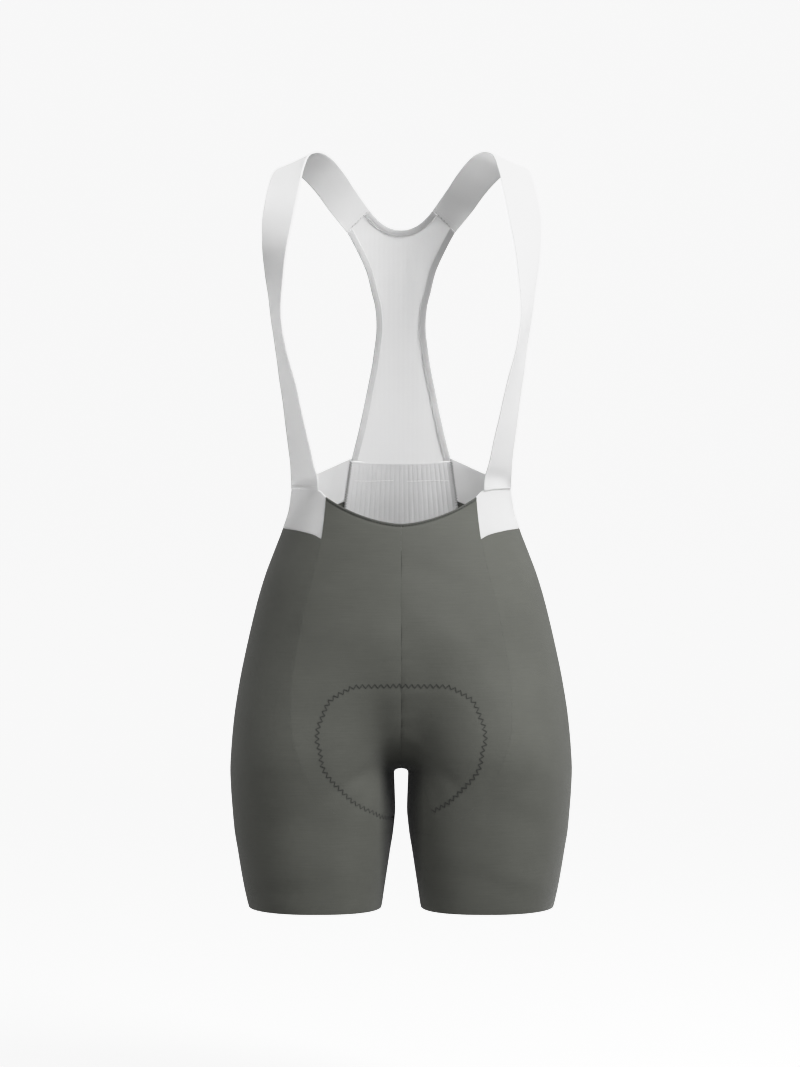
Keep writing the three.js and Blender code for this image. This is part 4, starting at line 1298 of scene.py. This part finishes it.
def strap_stitches():
    """Seams of the straps with the yokes and with the back panel, on both of their faces."""
    parts, dark = [], []
    for side, sign in (("right", 1), ("left", -1)):
        flip = np.array([sign, 1, 1])
        strap = surface_of(f"strap_{side}_cloth")
        for row, cloth_row in ((3, 1), (-3, -2)):
            for outwards in (1, -1):
                path = STRAP.points[row, 1:-1] * flip
                normals = STRAP.normals[cloth_row, 1:-1] * flip * outwards
                path, normals = laid(strap, path, normals)
                parts += stitches(path, normals, length=2.2, space=0.6, radius=0.2, seed=row)
        share = np.linspace(0.12, 0.9, 30)
        for outwards in (-1, 1):
            path = strap_seam(share, 0.2) * flip
            normals = np.tile([0.0, outwards, 0.0], (len(path), 1))
            path, normals = laid(surface_of("back_panel_cloth", f"strap_{side}_cloth"), path, normals)
            dark += stitches(path, normals, length=1.8, space=2.4, radius=0.2, seed=outwards)
    add_threads("strap_stitches", parts, WHITE_THREAD)
    add_threads("back_seam_stitches", dark, GREY_THREAD)


pad_stitch()
neckline_stitches()
lumbar_overlock()
strap_stitches()


# Room, lights and camera
ROOM_GLOW = 0.385
ROOM_GLOW_TOWARDS = (-0.02, -0.11, 0.3)
KEY_POWER = 101
HIGHLIGHT = 1.8
RESPONSE = (
    (0.1, 0.1), (0.25, 0.25), (0.36, 0.38), (0.45, 0.485), (0.55, 0.605), (0.7, 0.715),
    (0.9, 0.825), (1.0, 0.862), (1.13, 0.885), (1.35, 0.9), (1.6, 0.914), (1.72, 0.928),
)


def studio():
    width, near, far, floor, rise, radius = 4.6, -4.6, 4.6, -1.05, 4.0, 0.7
    profile = [(near, floor), (far - radius, floor)]
    for k in range(1, 17):
        angle = math.pi / 2 * k / 16
        profile.append((far - radius + radius * math.sin(angle),
                        floor + radius - radius * math.cos(angle)))
    profile.append((far, rise))
    points, faces = [], []
    for y, z in profile:
        points += [(-width, y, z), (width, y, z)]
    for k in range(len(profile) - 1):
        faces.append((2 * k, 2 * k + 1, 2 * k + 3, 2 * k + 2))
    mesh = bpy.data.meshes.new("backdrop")
    mesh.from_pydata(points, [], faces)
    mesh.shade_smooth()
    paper = Nodes("backdrop_paper")
    grain = paper.solid_noise(3.0, 3.0, 0.6)
    colour = paper.tint((0.16, 0.16, 0.16), (0.18, 0.18, 0.18), grain)
    paper.shader.inputs["Emission Color"].default_value = (1, 1, 1, 1)
    paper.shader.inputs["Emission Strength"].default_value = 1.63
    mesh.materials.append(paper.finish(colour, 0.9, paper.bump(grain, 0.05), specular=0.1))
    item = bpy.data.objects.new("backdrop", mesh)
    bpy.context.scene.collection.objects.link(item)
    item.visible_diffuse = False
    item.visible_glossy = False


def soft_light(name, place, target, size, power):
    lamp = bpy.data.lights.new(name, "AREA")
    lamp.shape = "RECTANGLE"
    lamp.size, lamp.size_y = size
    lamp.energy = power
    item = bpy.data.objects.new(name, lamp)
    item.location = place
    aim = Vector(target) - Vector(place)
    item.rotation_euler = aim.to_track_quat("-Z", "Y").to_euler()
    bpy.context.scene.collection.objects.link(item)


def light_and_camera():
    world = bpy.data.worlds.new("room")
    world.use_nodes = True
    tree = world.node_tree
    where = tree.nodes.new("ShaderNodeTexCoord")
    towards = tree.nodes.new("ShaderNodeVectorMath")
    towards.operation = "DOT_PRODUCT"
    towards.inputs[1].default_value = ROOM_GLOW_TOWARDS
    glow = tree.nodes.new("ShaderNodeMath")
    glow.operation = "ADD"
    glow.use_clamp = True
    glow.inputs[1].default_value = ROOM_GLOW
    background = tree.nodes["Background"]
    background.inputs["Color"].default_value = (1, 1, 1, 1)
    tree.links.new(where.outputs["Generated"], towards.inputs[0])
    tree.links.new(towards.outputs["Value"], glow.inputs[0])
    tree.links.new(glow.outputs[0], background.inputs["Strength"])
    bpy.context.scene.world = world
    soft_light("key", (1.52, -1.37, 1.42), (0, 0, -0.35), (1.0, 1.0), KEY_POWER)
    lens = bpy.data.cameras.new("camera")
    lens.sensor_fit = "VERTICAL"
    lens.sensor_height = 36.0
    lens.lens = PHOTO_FOCUS / PHOTO_HEIGHT * 36.0
    camera = bpy.data.objects.new("camera", lens)
    camera.location = (-0.0012, -3.022, -0.4105)
    camera.rotation_euler = (math.pi / 2, 0, 0)
    bpy.context.scene.collection.objects.link(camera)
    bpy.context.scene.camera = camera
    soft_highlights(bpy.context.scene.view_settings)


def soft_highlights(view):
    """A camera's response: true up to the middle tones, and gentler towards white."""
    view.view_transform = "Standard"
    view.use_curve_mapping = True
    view.curve_mapping.white_level = (HIGHLIGHT,) * 3
    curve = view.curve_mapping.curves[3]
    curve.points[0].location = (0, 0)
    curve.points[1].location = (1, 0.962)
    for light, shown in RESPONSE:
        curve.points.new(light / HIGHLIGHT, shown)
    view.curve_mapping.update()


studio()
light_and_camera()
